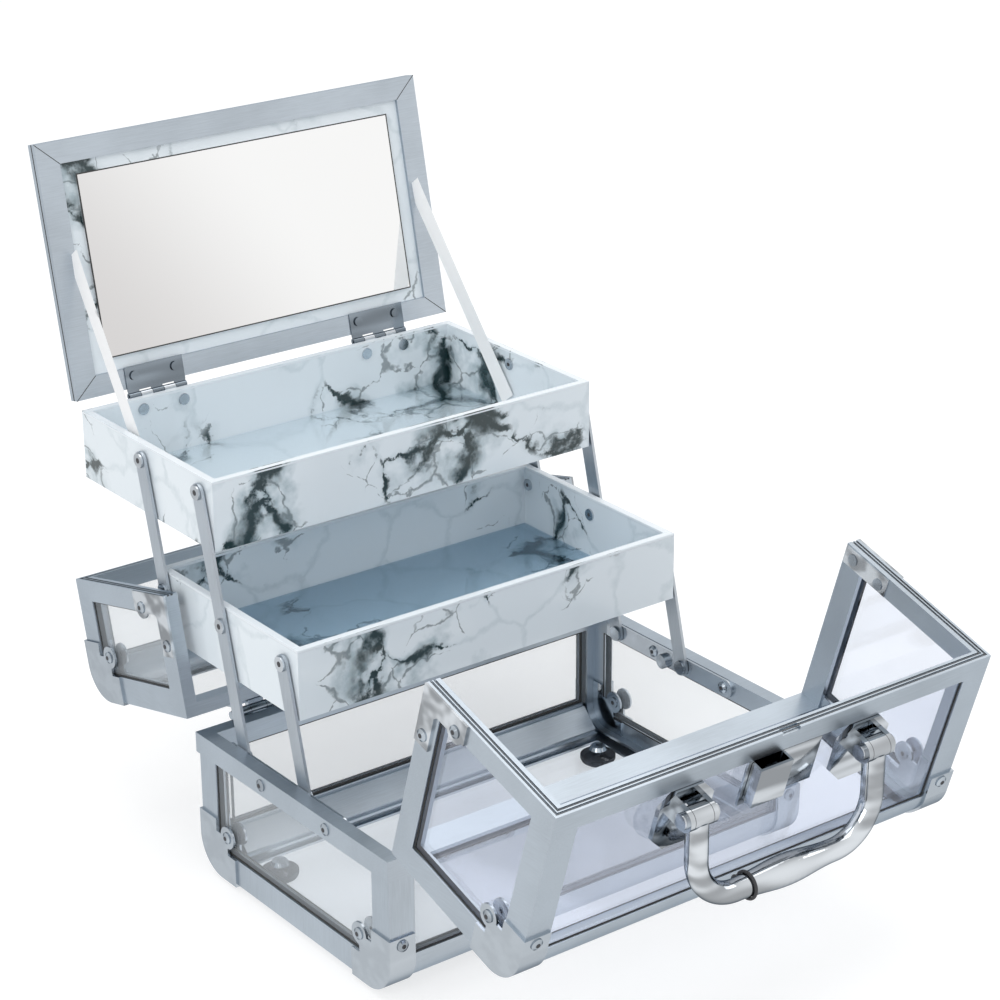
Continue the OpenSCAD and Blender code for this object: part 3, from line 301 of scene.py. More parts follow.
@dataclass(frozen=True)
class Push:
    """A coloured noise that pushes the marble's pattern about by a share of its reach, in metres."""

    scale: float
    detail: float
    reach: float


@dataclass(frozen=True)
class Vein:
    """A net of veins along the borders between cells."""

    cells: float
    ragged: float
    width: float
    thinnest: float


@dataclass(frozen=True)
class MarblePrint(Finish):
    """White laminate printed with dark branching veins, under a gloss film."""

    shift: tuple[float, float, float]
    cover: tuple[float, float] = (0.48, 0.61)
    base: Colour = (0.79, 0.85, 0.89, 1.0)
    shaded: Colour = (0.62, 0.70, 0.76, 1.0)
    haze: Colour = (0.16, 0.27, 0.31, 1.0)
    ink: Colour = (0.010, 0.032, 0.036, 1.0)
    broad_push: Push = Push(24.0, 5.0, 0.042)
    fine_push: Push = Push(110.0, 3.0, 0.007)
    trunks: Vein = Vein(22.0, 0.16, 0.1, 0.003)
    twigs: Vein = Vein(47.0, 0.1, 0.05, 0.002)
    patch_scale: float = 13.0
    swell_scale: float = 52.0
    crumb_scale: float = 240.0
    wash_scale: float = 7.0
    peel_scale: float = 420.0

    def build(self, graph: Graph) -> None:
        """Borders between crinkled cells are the veins, which swell in patches and die out between."""
        place = graph.node("ShaderNodeMapping", None,
                           {"Vector": graph.coords(), "Location": Vector(self.shift)})
        bent = self._pushed(graph, self._pushed(graph, place, self.broad_push), self.fine_push)
        patch = graph.noise(place, self.patch_scale, warp=0.4).between(*self.cover)
        large = self._border(graph, bent, self.trunks.cells)
        small = self._border(graph, bent, self.twigs.cells)
        crumb = graph.noise(place, self.crumb_scale, detail=4.0, rough=0.7) - 0.5
        swell = graph.noise(place, self.swell_scale, detail=3.0, rough=0.6).between(0.36, 0.64) * 1.5 + 0.25
        girth = patch * swell
        core = self._vein(self.trunks, large, crumb, girth)
        branch = self._vein(self.twigs, small, crumb, girth) * 0.6
        dark = core.most(branch) * patch.between(0.03, 0.35)
        smoke = (1.0 - large / (girth * 0.32 + 0.02)).between(0.0, 1.2) * patch * (0.65 + crumb * 1.5)
        trail = (1.0 - large / 0.05).between(0.0, 1.0) * (0.5 + crumb) * 0.3
        wash = graph.noise(place, self.wash_scale, detail=3.0).between(0.5, 0.8) * 0.2
        ground = graph.mix(wash, self.base, self.shaded)
        greyed = graph.mix(smoke.most(trail).least(1.0), ground, self.haze)
        colour = graph.mix(dark.least(1.0), greyed, self.ink)
        peel = graph.noise(graph.coords(), self.peel_scale)
        inputs = {"Base Color": colour, "Roughness": 0.14 + peel * 0.06, "Coat Weight": 0.4,
                  "Normal": graph.bump(peel, 0.03, 0.0002)}
        graph.finish(graph.node("ShaderNodeBsdfPrincipled", None, inputs))

    @staticmethod
    def _vein(vein: Vein, border: Socket, crumb: Socket, girth: Socket) -> Socket:
        """How strongly a net of veins shows, from 0 to 1.

        Args:
            vein: The net.
            border: Distance to the border between its cells.
            crumb: What makes its edges ragged.
            girth: How thick veins are at a place.

        Returns:
            The strength.
        """
        width = girth * vein.width + vein.thinnest
        return (1.0 - (border + crumb * vein.ragged) / width).between(0.0, 0.9)

    @staticmethod
    def _pushed(graph: Graph, place: Socket, push: Push) -> Socket:
        """A place pushed about by a coloured noise."""
        inputs = {"Vector": place, "Scale": push.scale, "Detail": push.detail}
        noise = graph.node("ShaderNodeTexNoise", None, inputs, "Color")
        middle = graph.node("ShaderNodeVectorMath", {"operation": "SUBTRACT"},
                            {0: noise, 1: Vector((0.5, 0.5, 0.5))})
        reach = Vector((push.reach, push.reach, push.reach))
        return graph.node("ShaderNodeVectorMath", {"operation": "MULTIPLY_ADD"},
                          {0: middle, 1: reach, 2: place})

    @staticmethod
    def _border(graph: Graph, place: Socket, scale: float) -> Socket:
        """Distance to the border between cells."""
        settings = {"feature": "DISTANCE_TO_EDGE"}
        return graph.node("ShaderNodeTexVoronoi", settings, {"Vector": place, "Scale": scale}, "Distance")


@dataclass(frozen=True)
class Gloss(Finish):
    """Smooth lacquer or film in one colour."""

    colour: Colour
    rough: float
    cloud_scale: float = 60.0

    def build(self, graph: Graph) -> None:
        """A faint unevenness in shade and gloss."""
        cloud = graph.noise(graph.coords(), self.cloud_scale, detail=4.0)
        darker = tuple(part * 0.9 for part in self.colour[:3]) + (1.0,)
        inputs = {"Base Color": graph.mix(cloud, darker, self.colour),
                  "Roughness": self.rough + cloud * 0.05, "Coat Weight": 0.3,
                  "Normal": graph.bump(cloud, 0.02, 0.0005)}
        graph.finish(graph.node("ShaderNodeBsdfPrincipled", None, inputs))


@dataclass(frozen=True)
class Silvered(Finish):
    """Mirror glass, whose base colour carries a painted reflection."""

    slant: tuple[float, float, float] = (8.0, 0.0, 5.8)
    band: tuple[float, float] = (0.45, 1.5)
    # Darker and paler ends of the painted reflection.
    painted_reflection_dim: Colour = (0.68, 0.665, 0.66, 1.0)
    pale: Colour = (0.93, 0.93, 0.925, 1.0)

    def build(self, graph: Graph) -> None:
        """A nearly perfect mirror with a painted reflection: its base colour grows paler along a slant."""
        place = graph.node("ShaderNodeVectorMath", {"operation": "DOT_PRODUCT"},
                           {0: graph.coords(), 1: Vector(self.slant)}, "Value")
        # Where the painted reflection grows paler across the mirror.
        band = place.between(*self.band)
        colour = graph.mix(band, self.painted_reflection_dim, self.pale)
        inputs = {"Base Color": colour, "Metallic": 1.0, "Roughness": 0.012 + band * 0.008}
        graph.finish(graph.node("ShaderNodeBsdfPrincipled", None, inputs))


@dataclass(frozen=True)
class Rubber(Finish):
    """Matte black rubber, also laid as painted shade in grooves and hollows."""

    level: float = 0.02
    grain_scale: float = 1500.0

    def build(self, graph: Graph) -> None:
        """A fine grain on a dark ground."""
        grain = graph.noise(graph.coords(), self.grain_scale, detail=3.0)
        colour = graph.mix(grain, grey(self.level * 0.7), grey(self.level * 1.6))
        inputs = {"Base Color": colour, "Roughness": 0.5 + grain * 0.25,
                  "Normal": graph.bump(grain, 0.2, 0.0002)}
        graph.finish(graph.node("ShaderNodeBsdfPrincipled", None, inputs))


@dataclass(frozen=True)
class Ribbon(Finish):
    """White satin ribbon, woven across its width."""

    rib_scale: float = 40.0
    # The darker colour between the ribs is painted shade; the crest colour is the satin's white.
    painted_shade_valley: Colour = (0.72, 0.79, 0.84, 1.0)
    crest: Colour = (0.84, 0.89, 0.93, 1.0)

    def build(self, graph: Graph) -> None:
        """Fine ribs from the ribbon's own map, darker between the ribs as painted shade."""
        uv = graph.node("ShaderNodeUVMap", {"uv_map": "Weave"})
        ribs = graph.node("ShaderNodeTexWave", {"bands_direction": "Y"},
                          {"Vector": uv, "Scale": self.rib_scale}, "Fac")
        colour = graph.mix(ribs, self.painted_shade_valley, self.crest)
        inputs = {"Base Color": colour, "Roughness": 0.38 + ribs * 0.1,
                  "Normal": graph.bump(ribs, 0.15, 0.0002)}
        graph.finish(graph.node("ShaderNodeBsdfPrincipled", None, inputs))


RAIL_X = SatinRail("satin_rail_across", Grain.ALONG_X)
RAIL_Y = SatinRail("satin_rail_deep", Grain.ALONG_Y)
RAIL_Z = SatinRail("satin_rail_upright", Grain.ALONG_Z)
LID_RAIL = SatinRail("satin_lid_frame", Grain.ALONG_X, level=0.52)
ARM = SatinRail("satin_arm", Grain.ALONG_Z, level=0.52, tint=0.08)
CHROME = Plated("bright_chrome", level=0.56, rough=0.05, streak=0.34)
STEEL = Plated("nickel_steel", level=0.46, rough=0.12, edge=0.2, tint=0.1, streak=0.2)
HINGE_STEEL = Plated("hinge_steel", level=0.27, rough=0.12, edge=0.2, tint=0.14, streak=0.25)
STUD = Plated("bright_stud", rough=0.1, edge=0.2, tint=0.06, streak=0.1)
CAP = Plated("plated_cap", level=0.56, rough=0.2, edge=0.35, tint=0.08, streak=0.04)
CLEAR = ClearSheet("clear_acrylic", tint=(0.9, 0.94, 0.975, 1.0))
CLEAR_FLAP = ClearSheet("clear_acrylic_flap", tint=(0.94, 0.955, 0.985, 1.0), low=0.1)
CLEAR_FLOOR = ClearSheet("clear_acrylic_floor", tint=(0.93, 0.95, 0.97, 1.0), low=0.03, gain=0.5)
SHEET_LOWER = ClearSheet("clear_floor_sheet", tint=(0.85, 0.91, 0.945, 1.0), low=0.1,
                         gloss=(0.6, 0.68, 0.76, 1.0))
SHEET_UPPER = ClearSheet("pale_floor_sheet", tint=(0.97, 0.985, 0.99, 1.0), low=0.08,
                         gloss=(0.8, 0.85, 0.9, 1.0))
MARBLE_LOWER = MarblePrint("marble_lower_tray", shift=(0.91, 0.33, 0.52))
MARBLE_UPPER = MarblePrint("marble_upper_tray", shift=(0.23, 0.77, 0.14))
MARBLE_LID = MarblePrint("marble_lid_board", shift=(0.6, 0.2, 0.1), cover=(0.52, 0.68))
MIRROR = Silvered("silvered_glass")
# Matte black for the rubber feet and the handle tie, and painted shade in the hollows of rivets, eyelets and
# studs.
RUBBER_AND_HOLE_SHADE = Rubber("black_rubber")
GASKET = Rubber("dark_gasket", level=0.03)
# Painted shade laid in the seam grooves.
GROOVE_SHADE = Rubber("groove_shadow", level=0.09)
RIBBON = Ribbon("white_ribbon")
WHITE_EDGE = Gloss("white_edge_band", colour=(0.83, 0.88, 0.92, 1.0), rough=0.2)

NODE_FINISH: dict[str, Finish] = {
    "base_floor_panel": CLEAR_FLOOR, "base_front_panel": CLEAR, "base_rear_panel": CLEAR,
    "base_side_panels": CLEAR,
    "base_bottom_rails": RAIL_X, "base_corner_angles": RAIL_Z, "base_rim": RAIL_X, "base_corner_caps": CAP,
    "base_corner_brackets": STEEL, "base_rivets": STEEL, "rubber_feet": RUBBER_AND_HOLE_SHADE, "foot_screws": STEEL,
    "pivot_strips": CAP, "base_pivot_studs": STEEL, "base_hinge_leaves": STEEL,
    "front_hinge_pins": STEEL, "rear_hinge_pins": STEEL, "front_flap_top_panel": CLEAR_FLAP,
    "front_flap_front_panel": CLEAR_FLAP, "front_flap_side_panels": CLEAR_FLAP,
    "front_flap_edge_rail": RAIL_X,
    "front_flap_side_rails": RAIL_Y, "front_flap_seam_rail": RAIL_X, "front_flap_hinge_rail": RAIL_X,
    "front_flap_corner_caps": CAP, "front_flap_catch_plates": CHROME, "front_flap_rivets": STEEL,
    "front_hinge_leaves": STEEL, "handle_mounts": CHROME, "handle_pins": CHROME, "handle": CHROME,
    "handle_tie": RUBBER_AND_HOLE_SHADE, "latch_plate": CHROME, "latch_lever": CHROME, "rear_flap_top_panel": CLEAR,
    "rear_flap_rear_panel": CLEAR, "rear_flap_side_panels": CLEAR, "rear_flap_edge_rail": RAIL_X,
    "rear_flap_side_rails": RAIL_Y, "rear_flap_seam_rail": RAIL_X, "rear_flap_hinge_rail": RAIL_X,
    "rear_flap_corner_caps": CAP, "rear_flap_catch_plates": CHROME, "rear_flap_rivets": STEEL,
    "rear_hinge_leaves": STEEL, "latch_keeper": CHROME, "long_arms": ARM, "front_arms": ARM,
    "rear_arms": ARM, "lower_tray_pivots": STUD, "upper_tray_pivots": STUD, "lower_tray": MARBLE_LOWER,
    "upper_tray": MARBLE_UPPER, "tray_hinge_leaves": STUD, "lid_hinge_pins": HINGE_STEEL,
    "lid_frame": LID_RAIL, "lid_board": MARBLE_LID, "mirror_glass": MIRROR, "lid_hinge_leaves": HINGE_STEEL,
}


# ------------------------------------------------------------------------------------------- pieces


def slab(mesh: bmesh.types.BMesh, low: tuple[float, ...], high: tuple[float, ...]) -> None:
    """Adds a box between two corners, in millimetres."""
    first, last = Vector(low) * MM, Vector(high) * MM
    place = Matrix.Translation((first + last) / 2) @ Matrix.Diagonal((*(last - first), 1.0))
    bmesh.ops.create_cube(mesh, size=1.0, matrix=place)


def outline(mesh: bmesh.types.BMesh, axis: int, at: tuple[float, float], low: tuple[float, float],
            high: tuple[float, float], width: float) -> None:
    """Adds a four-sided frame of thin bars.

    Args:
        mesh: Takes the bars.
        axis: The axis that the frame faces: 0, 1 or 2.
        at: Where the bars start and end along that axis, in millimetres.
        low: Lower corner of the frame's outside, along the other two axes.
        high: Upper corner.
        width: Width of the bars.
    """
    (u0, v0), (u1, v1) = low, high
    bars = (((u0, v0), (u1, v0 + width)), ((u0, v1 - width), (u1, v1)),
            ((u0, v0 + width), (u0 + width, v1 - width)), ((u1 - width, v0 + width), (u1, v1 - width)))
    for near, far in bars:
        first, last = list(near), list(far)
        first.insert(axis, min(at))
        last.insert(axis, max(at))
        slab(mesh, tuple(first), tuple(last))


def disc(mesh: bmesh.types.BMesh, centre: tuple[float, float, float], radius: float, depth: float) -> None:
    """Adds a short round bar along X about a centre, in millimetres."""
    place = Matrix.Translation(Vector(centre) * MM) @ Matrix.Rotation(math.pi / 2, 4, "Y")
    bmesh.ops.create_cone(mesh, cap_ends=True, segments=24, radius1=radius * MM, radius2=radius * MM,
                          depth=depth * MM, matrix=place)


def new_piece(name: str, mesh: bmesh.types.BMesh, finish: Finish, body: str | None,
              bevel: float = 0.0) -> bpy.types.Object:
    """Turns a bmesh into a piece that rides on a body.

    Args:
        name: Name of the piece.
        mesh: The shape, in place, in metres.
        finish: Its finish.
        body: The body that carries it, or None for a piece that rides on no body.
        bevel: Width of its softened edges, in millimetres.

    Returns:
        The new object, which stands at the origin.
    """
    if bevel:
        bmesh.ops.bevel(mesh, geom=mesh.edges[:], offset=bevel * MM, segments=3, profile=0.5, affect="EDGES",
                        material=-1)
    bmesh.ops.recalc_face_normals(mesh, faces=mesh.faces[:])
    data = bpy.data.meshes.new(name)
    mesh.to_mesh(data)
    mesh.free()
    data.materials.append(finish.material())
    piece = bpy.data.objects.new(name, data)
    bpy.context.scene.collection.objects.link(piece)
    if body:
        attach(piece, body)
    LOG.info("piece %s, on %s, has %d faces", name, body, len(data.polygons))
    return piece


@dataclass(frozen=True)
class Hinged:
    """Something drawn shut that stands open: a flap or the lid."""

    pin: tuple[float, float]
    angle: float
    flipped: bool = False

    def place(self) -> Matrix:
        """The turn from shut to open about the pin, for metres; a flipped one is drawn facing the front."""
        pin = Vector((0.0, *self.pin)) * MM
        swing = Matrix.Rotation(math.radians(self.angle), 4, "X")
        turn = Matrix.Translation(pin) @ swing @ Matrix.Translation(-pin)
        return Matrix.Diagonal((1.0, -1.0, 1.0, 1.0)) @ turn if self.flipped else turn

    def open(self, mesh: bmesh.types.BMesh) -> bmesh.types.BMesh:
        """Opens a shape drawn shut."""
        bmesh.ops.transform(mesh, matrix=self.place(), verts=mesh.verts[:])
        return mesh


@dataclass(frozen=True)
class FlapTrim:
    """Seals, inner plates and dark lines of painted groove shade of one flap, drawn shut with the seam
    towards +Y.
    """

    body: str
    hinge: Hinged
    depth: float
    half: float = 100.0
    front: float = -65.0
    low: float = 60.6
    high: float = 134.6
    skin: float = 1.0
    flange: float = 11.0
    leg: float = 15.0
    hinge_rail: float = 10.0
    seam_rail: float = 8.5
    wall: float = 5.4
    bead: float = 0.6
    gap: float = 0.2
    line: float = 0.35
    grooves: tuple[float, float] = (1.3, 2.85)
    sunk: tuple[float, float] = (0.6, 0.3)
    plate: float = 0.35
    plate_height: float = 24.0
    rivets: tuple[tuple[float, float], ...] = ((5.6, 19.5), (4.6, 5.0))
    rivet_radius: float = 2.3
    rivet_depth: float = 0.5
    rivet_middle: float = 0.45

    def build(self) -> None:
        """Builds all of the flap's trim."""
        self._seals()
        self._seam_groove_shade()
        self._inner_plates()

    def _seals(self) -> None:
        """Black seals where the clear panels meet their rails."""
        mesh = bmesh.new()
        seam = self.front + self.depth - self.seam_rail
        foot = self.low + self.hinge_rail
        for side in (-1, 1):
            face = side * (self.half - self.skin)
            outline(mesh, 0, (face, face + side * self.gap), (self.front + self.flange, foot),
                    (seam, self.high - self.flange), self.bead)
        across = self.half - self.flange
        top = self.high - self.skin
        outline(mesh, 2, (top, top + self.gap), (-across, self.front + self.leg), (across, seam), self.bead)
        end = self.front + self.skin
        outline(mesh, 1, (end - self.gap, end), (-across, foot), (across, self.high - self.leg), self.bead)
        new_piece(f"{self.body}_seals", self.hinge.open(mesh), GASKET, self.body)

    def _seam_groove_shade(self) -> None:
        """Dark strips of painted shade in the two grooves of the seam face."""
        mesh = bmesh.new()
        deep, shallow = (self.front + self.depth - sunk for sunk in self.sunk)
        for inset in self.grooves:
            edge, roof = self.half - inset, self.high - inset
            for side in (-1, 1):
                first, last = sorted((side * edge, side * (edge - self.line)))
                slab(mesh, (first, deep, self.low + self.gap), (last, shallow, roof))
            slab(mesh, (-edge, deep, roof - self.line), (edge, shallow, roof))
        new_piece(f"{self.body}_seam_groove_shade", self.hinge.open(mesh), GROOVE_SHADE, self.body)

    def _inner_plates(self) -> None:
        """Plates behind the catch plates, each with two round rivets."""
        plates, rivets = bmesh.new(), bmesh.new()
        seam = self.front + self.depth
        for side in (-1, 1):
            face = side * (self.half - self.wall)
            first, last = sorted((face, face - side * self.plate))
            slab(plates, (first, seam - self.seam_rail + self.gap, self.low + 2 * self.gap),
                 (last, seam - 2 * self.gap, self.low + self.plate_height))
            for back, up in self.rivets:
                disc(rivets, (face - side * self.rivet_middle, seam - back, self.low + up),
                     self.rivet_radius, self.rivet_depth)
        new_piece(f"{self.body}_inner_plates", self.hinge.open(plates), CHROME, self.body)
        new_piece(f"{self.body}_inner_rivets", self.hinge.open(rivets), STEEL, self.body)


@dataclass(frozen=True)
class BaseTrim:
    """Seals of the base's clear panels, outside and inside."""

    half: tuple[float, float] = (99.0, 64.0)
    low: float = 3.0
    high: float = 51.7
    skin: float = 1.0
    flange: float = 11.0
    leg: float = 15.0
    bead: float = 0.6
    proud: float = 0.2
    side_inset: float = 4.6
    end_inset: float = 3.5
    end_bead: float = 1.0
    end_proud: float = 0.5

    def build(self) -> None:
        """Builds the seals."""
        mesh = bmesh.new()
        across, deep = self.half
        side_frame = (-deep + self.flange, self.low + self.flange), (deep - self.flange, self.high)
        end_frame = (-across + self.flange, self.low + self.leg), (across - self.flange, self.high)
        for side in (-1, 1):
            face = side * (across - self.skin)
            outline(mesh, 0, (face, face + side * self.proud), *side_frame, self.bead)
            inner = side * (across - self.side_inset)
            outline(mesh, 0, (inner, inner - side * self.proud), *side_frame, self.bead)
            end = side * (deep - self.skin)
            outline(mesh, 1, (end, end + side * self.proud), *end_frame, self.bead)
            inside = side * (deep - self.end_inset)
            outline(mesh, 1, (inside, inside - side * self.end_proud), *end_frame, self.end_bead)
        new_piece("base_seals", mesh, GASKET, "base")


@dataclass(frozen=True)
class TrayTrim:
    """Rim band, floor sheet and eyelet cores of one tray; the cores are black discs of painted shade in the
    hollows of the eyelets and studs.
    """

    body: str
    sheet: Finish
    pins: tuple[tuple[float, float], ...]
    wall: float = 3.0
    floor: float = 2.0
    eyelet: float = 0.7
    band: float = 0.1
    band_height: float = 1.4
    band_bevel: float = 0.5
    sheet_gap: float = 0.5
    sheet_heights: tuple[float, float] = (0.05, 0.9)
    sheet_bevel: float = 0.2
    stud_face: float = 93.55
    core_radii: tuple[float, float] = (0.8, 1.1)
    core_depth: float = 0.16

    def build(self) -> None:
        """Builds the tray's trim from the solid tray's box and from the places of its pins."""
        low, high = (tuple(part / MM for part in corner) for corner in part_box(self.body))
        inner = self.wall - self.band
        rim = bmesh.new()
        outline(rim, 2, (high[2] - self.band_height, high[2] + self.band),
                (low[0] - self.band, low[1] - self.band),
                (high[0] + self.band, high[1] + self.band), self.wall + 2 * self.band)
        new_piece(f"{self.body}_rim_band", rim, WHITE_EDGE, self.body, self.band_bevel)
        sheet = bmesh.new()
        under, over = (low[2] + self.floor + height for height in self.sheet_heights)
        slab(sheet, (low[0] + inner + self.sheet_gap, low[1] + inner + self.sheet_gap, under),
             (high[0] - inner - self.sheet_gap, high[1] - inner - self.sheet_gap, over))
        new_piece(f"{self.body}_floor_sheet", sheet, self.sheet, self.body,
                  self.sheet_bevel)
        # Black discs of painted shade in the hollows of the eyelets and the studs.
        cores = bmesh.new()
        for side in (-1, 1):
            for y, z in self.pins:
                eyelet_face = side * (high[0] - self.wall - self.eyelet)
                disc(cores, (eyelet_face, y, z), self.core_radii[0], self.core_depth)
                disc(cores, (side * self.stud_face, y, z), self.core_radii[1], self.core_depth)
        new_piece(f"{self.body}_eyelet_cores", cores, RUBBER_AND_HOLE_SHADE, self.body)


@dataclass(frozen=True)
class LidTrim:
    """Mitre lines, glass seal and edge lines of the mirror lid, drawn shut."""

    hinge: Hinged
    width: float
    near: float
    far: float
    layer: float
    border: tuple[float, float, float] = (10.0, 9.0, 8.5)
    print_border: tuple[float, float] = (5.0, 5.5)
    seal_width: float = 0.5
    seal_heights: tuple[float, float] = (0.15, 0.5)
    edge_heights: tuple[float, float] = (2.2, 2.7)
    edge_proud: float = 0.08
    stroke_width: float = 0.3
    stroke_depth: float = 0.1

    def build(self) -> None:
        """Builds all of the lid's trim."""
        lines = bmesh.new()
        half = self.width / 2
        side, upper, lower = self.border
        for sign in (-1, 1):
            for start, end in (((half, self.far), (half - side, self.far + upper)),
                               ((half, self.near), (half - side, self.near - lower))):
                self._stroke(lines, sign, start, end)
            first, last = sorted((sign * half, sign * (half + self.edge_proud)))
            slab(lines, (first, self.far, self.layer + self.edge_heights[0]),
                 (last, self.near, self.layer + self.edge_heights[1]))
        new_piece("lid_mitre_lines", self.hinge.open(lines), GASKET, "mirror_lid")
        seal = bmesh.new()
        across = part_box("mirror_glass")[1][0] / MM + self.seal_width / 2
        outline(seal, 2, (self.layer + self.seal_heights[0], self.layer + self.seal_heights[1]),
                (-across, self.far + upper + self.print_border[0]),
                (across, self.near - lower - self.print_border[1]), self.seal_width)
        new_piece("mirror_seal", self.hinge.open(seal), GASKET, "mirror_lid")

    def _stroke(self, mesh: bmesh.types.BMesh, sign: int, start: tuple[float, float],
                end: tuple[float, float]) -> None:
        """Adds a hair line on the frame's face between two points."""
        first = Vector((sign * start[0], start[1], 0.0))
        last = Vector((sign * end[0], end[1], 0.0))
        along = last - first
        turn = Matrix.Rotation(math.atan2(along.y, along.x), 4, "Z")
        middle = Matrix.Translation(((first + last) / 2 + Vector((0.0, 0.0, self.layer))) * MM)
        scale = Matrix.Diagonal((along.length * MM, self.stroke_width * MM, self.stroke_depth * MM, 1.0))
        bmesh.ops.create_cube(mesh, size=1.0, matrix=middle @ turn @ scale)


@dataclass(frozen=True)
class RivetCores:
    """Black discs of painted shade for the hollow centres of one node's rivets."""

    node: str
    body: str
    share: float = 0.38
    depth: float = 0.3 * MM
    proud: float = 0.08 * MM
    biggest: float = 12 * MM

    def build(self, nodes: dict[str, bpy.types.Object]) -> None:
        """Puts a black disc of painted shade in the middle of both ends of every rivet."""
        source = bmesh.new()
        source.from_mesh(nodes[self.node].data)
        bmesh.ops.remove_doubles(source, verts=source.verts[:], dist=0.001 * MM)
        cores = bmesh.new()
        for shell in self._shells(source):
            self._core(cores, shell)
        source.free()
        new_piece(f"{self.node}_cores", cores, RUBBER_AND_HOLE_SHADE, self.body)

    @staticmethod
    def _shells(source: bmesh.types.BMesh) -> list[list[bmesh.types.BMFace]]:
        """The groups of faces that hang together."""
        shells, seen = [], set()
        for face in source.faces:
            if face in seen:
                continue
            seen.add(face)
            shell, waiting = [], [face]
            while waiting:
                current = waiting.pop()
                shell.append(current)
                neighbours = (near for edge in current.edges for near in edge.link_faces)
                for near in neighbours:
                    if near not in seen:
                        seen.add(near)
                        waiting.append(near)
            shells.append(shell)
        return shells

    def _core(self, cores: bmesh.types.BMesh, shell: list[bmesh.types.BMFace]) -> None:
        """Adds the discs of one rivet, whose axis is the way that most of its flat area faces."""
        area: dict[tuple[float, ...], float] = {}
        for face in shell:
            way = face.normal if face.normal.dot(Vector((1.0, 0.1, 0.01))) > 0 else -face.normal
            key = tuple(round(part, 2) for part in way)
            area[key] = area.get(key, 0.0) + face.calc_area()
        axis = Vector(max(area, key=area.get)).normalized()
        places = {vert.co.copy().freeze() for face in shell for vert in face.verts}
        heights = [place.dot(axis) for place in places]
        middle = sum(places, Vector()) / len(places)
        middle -= axis * middle.dot(axis)
        radius = max((place - axis * place.dot(axis) - middle).length for place in places)
        if radius > self.biggest / 2:
            return
        turn = axis.to_track_quat("Z", "Y").to_matrix().to_4x4()
        for height, sign in ((max(heights), 1), (min(heights), -1)):
            centre = middle + axis * (height + sign * (self.proud - self.depth / 2))
            bmesh.ops.create_cone(cores, cap_ends=True, segments=16, radius1=radius * self.share,
                                  radius2=radius * self.share, depth=self.depth,
                                  matrix=Matrix.Translation(centre) @ turn)


@dataclass
class Ribbons:
    """The two ribbons that hold the mirror lid open."""

    width: float = 9 * MM
    thickness: float = 0.5 * MM
    steps: int = 24
    lean: float = 4 * MM
    inset: float = 1.5 * MM
    raised: float = 0.4
    lowered: float = 0.45
    curl: float = 0.8 * MM

    def build(self) -> None:
        """Builds both ribbons where the solid ribbons run."""
        low, high = (Vector(corner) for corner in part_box("lid_straps"))
        outer = high.x - self.thickness
        for side, name in ((-1, "left_ribbon"), (1, "right_ribbon")):
            start = Vector((side * outer, low.y + self.inset, low.z + self.raised * self.width))
            end = Vector((side * (outer - self.lean), high.y - self.inset,
                          high.z - self.lowered * self.width))
            mesh = self._strip(start, end)
            piece = new_piece(name, mesh, RIBBON, None)
            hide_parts("lid_straps")
            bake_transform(piece)

    def _strip(self, start: Vector, end: Vector) -> bmesh.types.BMesh:
        """A flat strip from start to end with its weave map, curled a little along its length."""
        mesh = bmesh.new()
        bmesh.ops.create_grid(mesh, x_segments=4, y_segments=self.steps, size=0.5)
        weave = mesh.loops.layers.uv.new("Weave")
        along = end - start
        normal = Vector((1.0, 0.0, 0.0))
        across = along.cross(normal).normalized()
        for face in mesh.faces:
            for loop in face.loops:
                loop[weave].uv = (loop.vert.co.x, (loop.vert.co.y + 0.5) * along.length / self.width)
        for vert in mesh.verts:
            share = vert.co.y + 0.5
            curl = math.sin(math.pi * share) * vert.co.x * self.curl
            vert.co = start + along * share + across * (vert.co.x * self.width) + normal * curl
        bmesh.ops.solidify(mesh, geom=mesh.faces[:], thickness=self.thickness)
        return mesh


# ------------------------------------------------------------------------------------------- studio


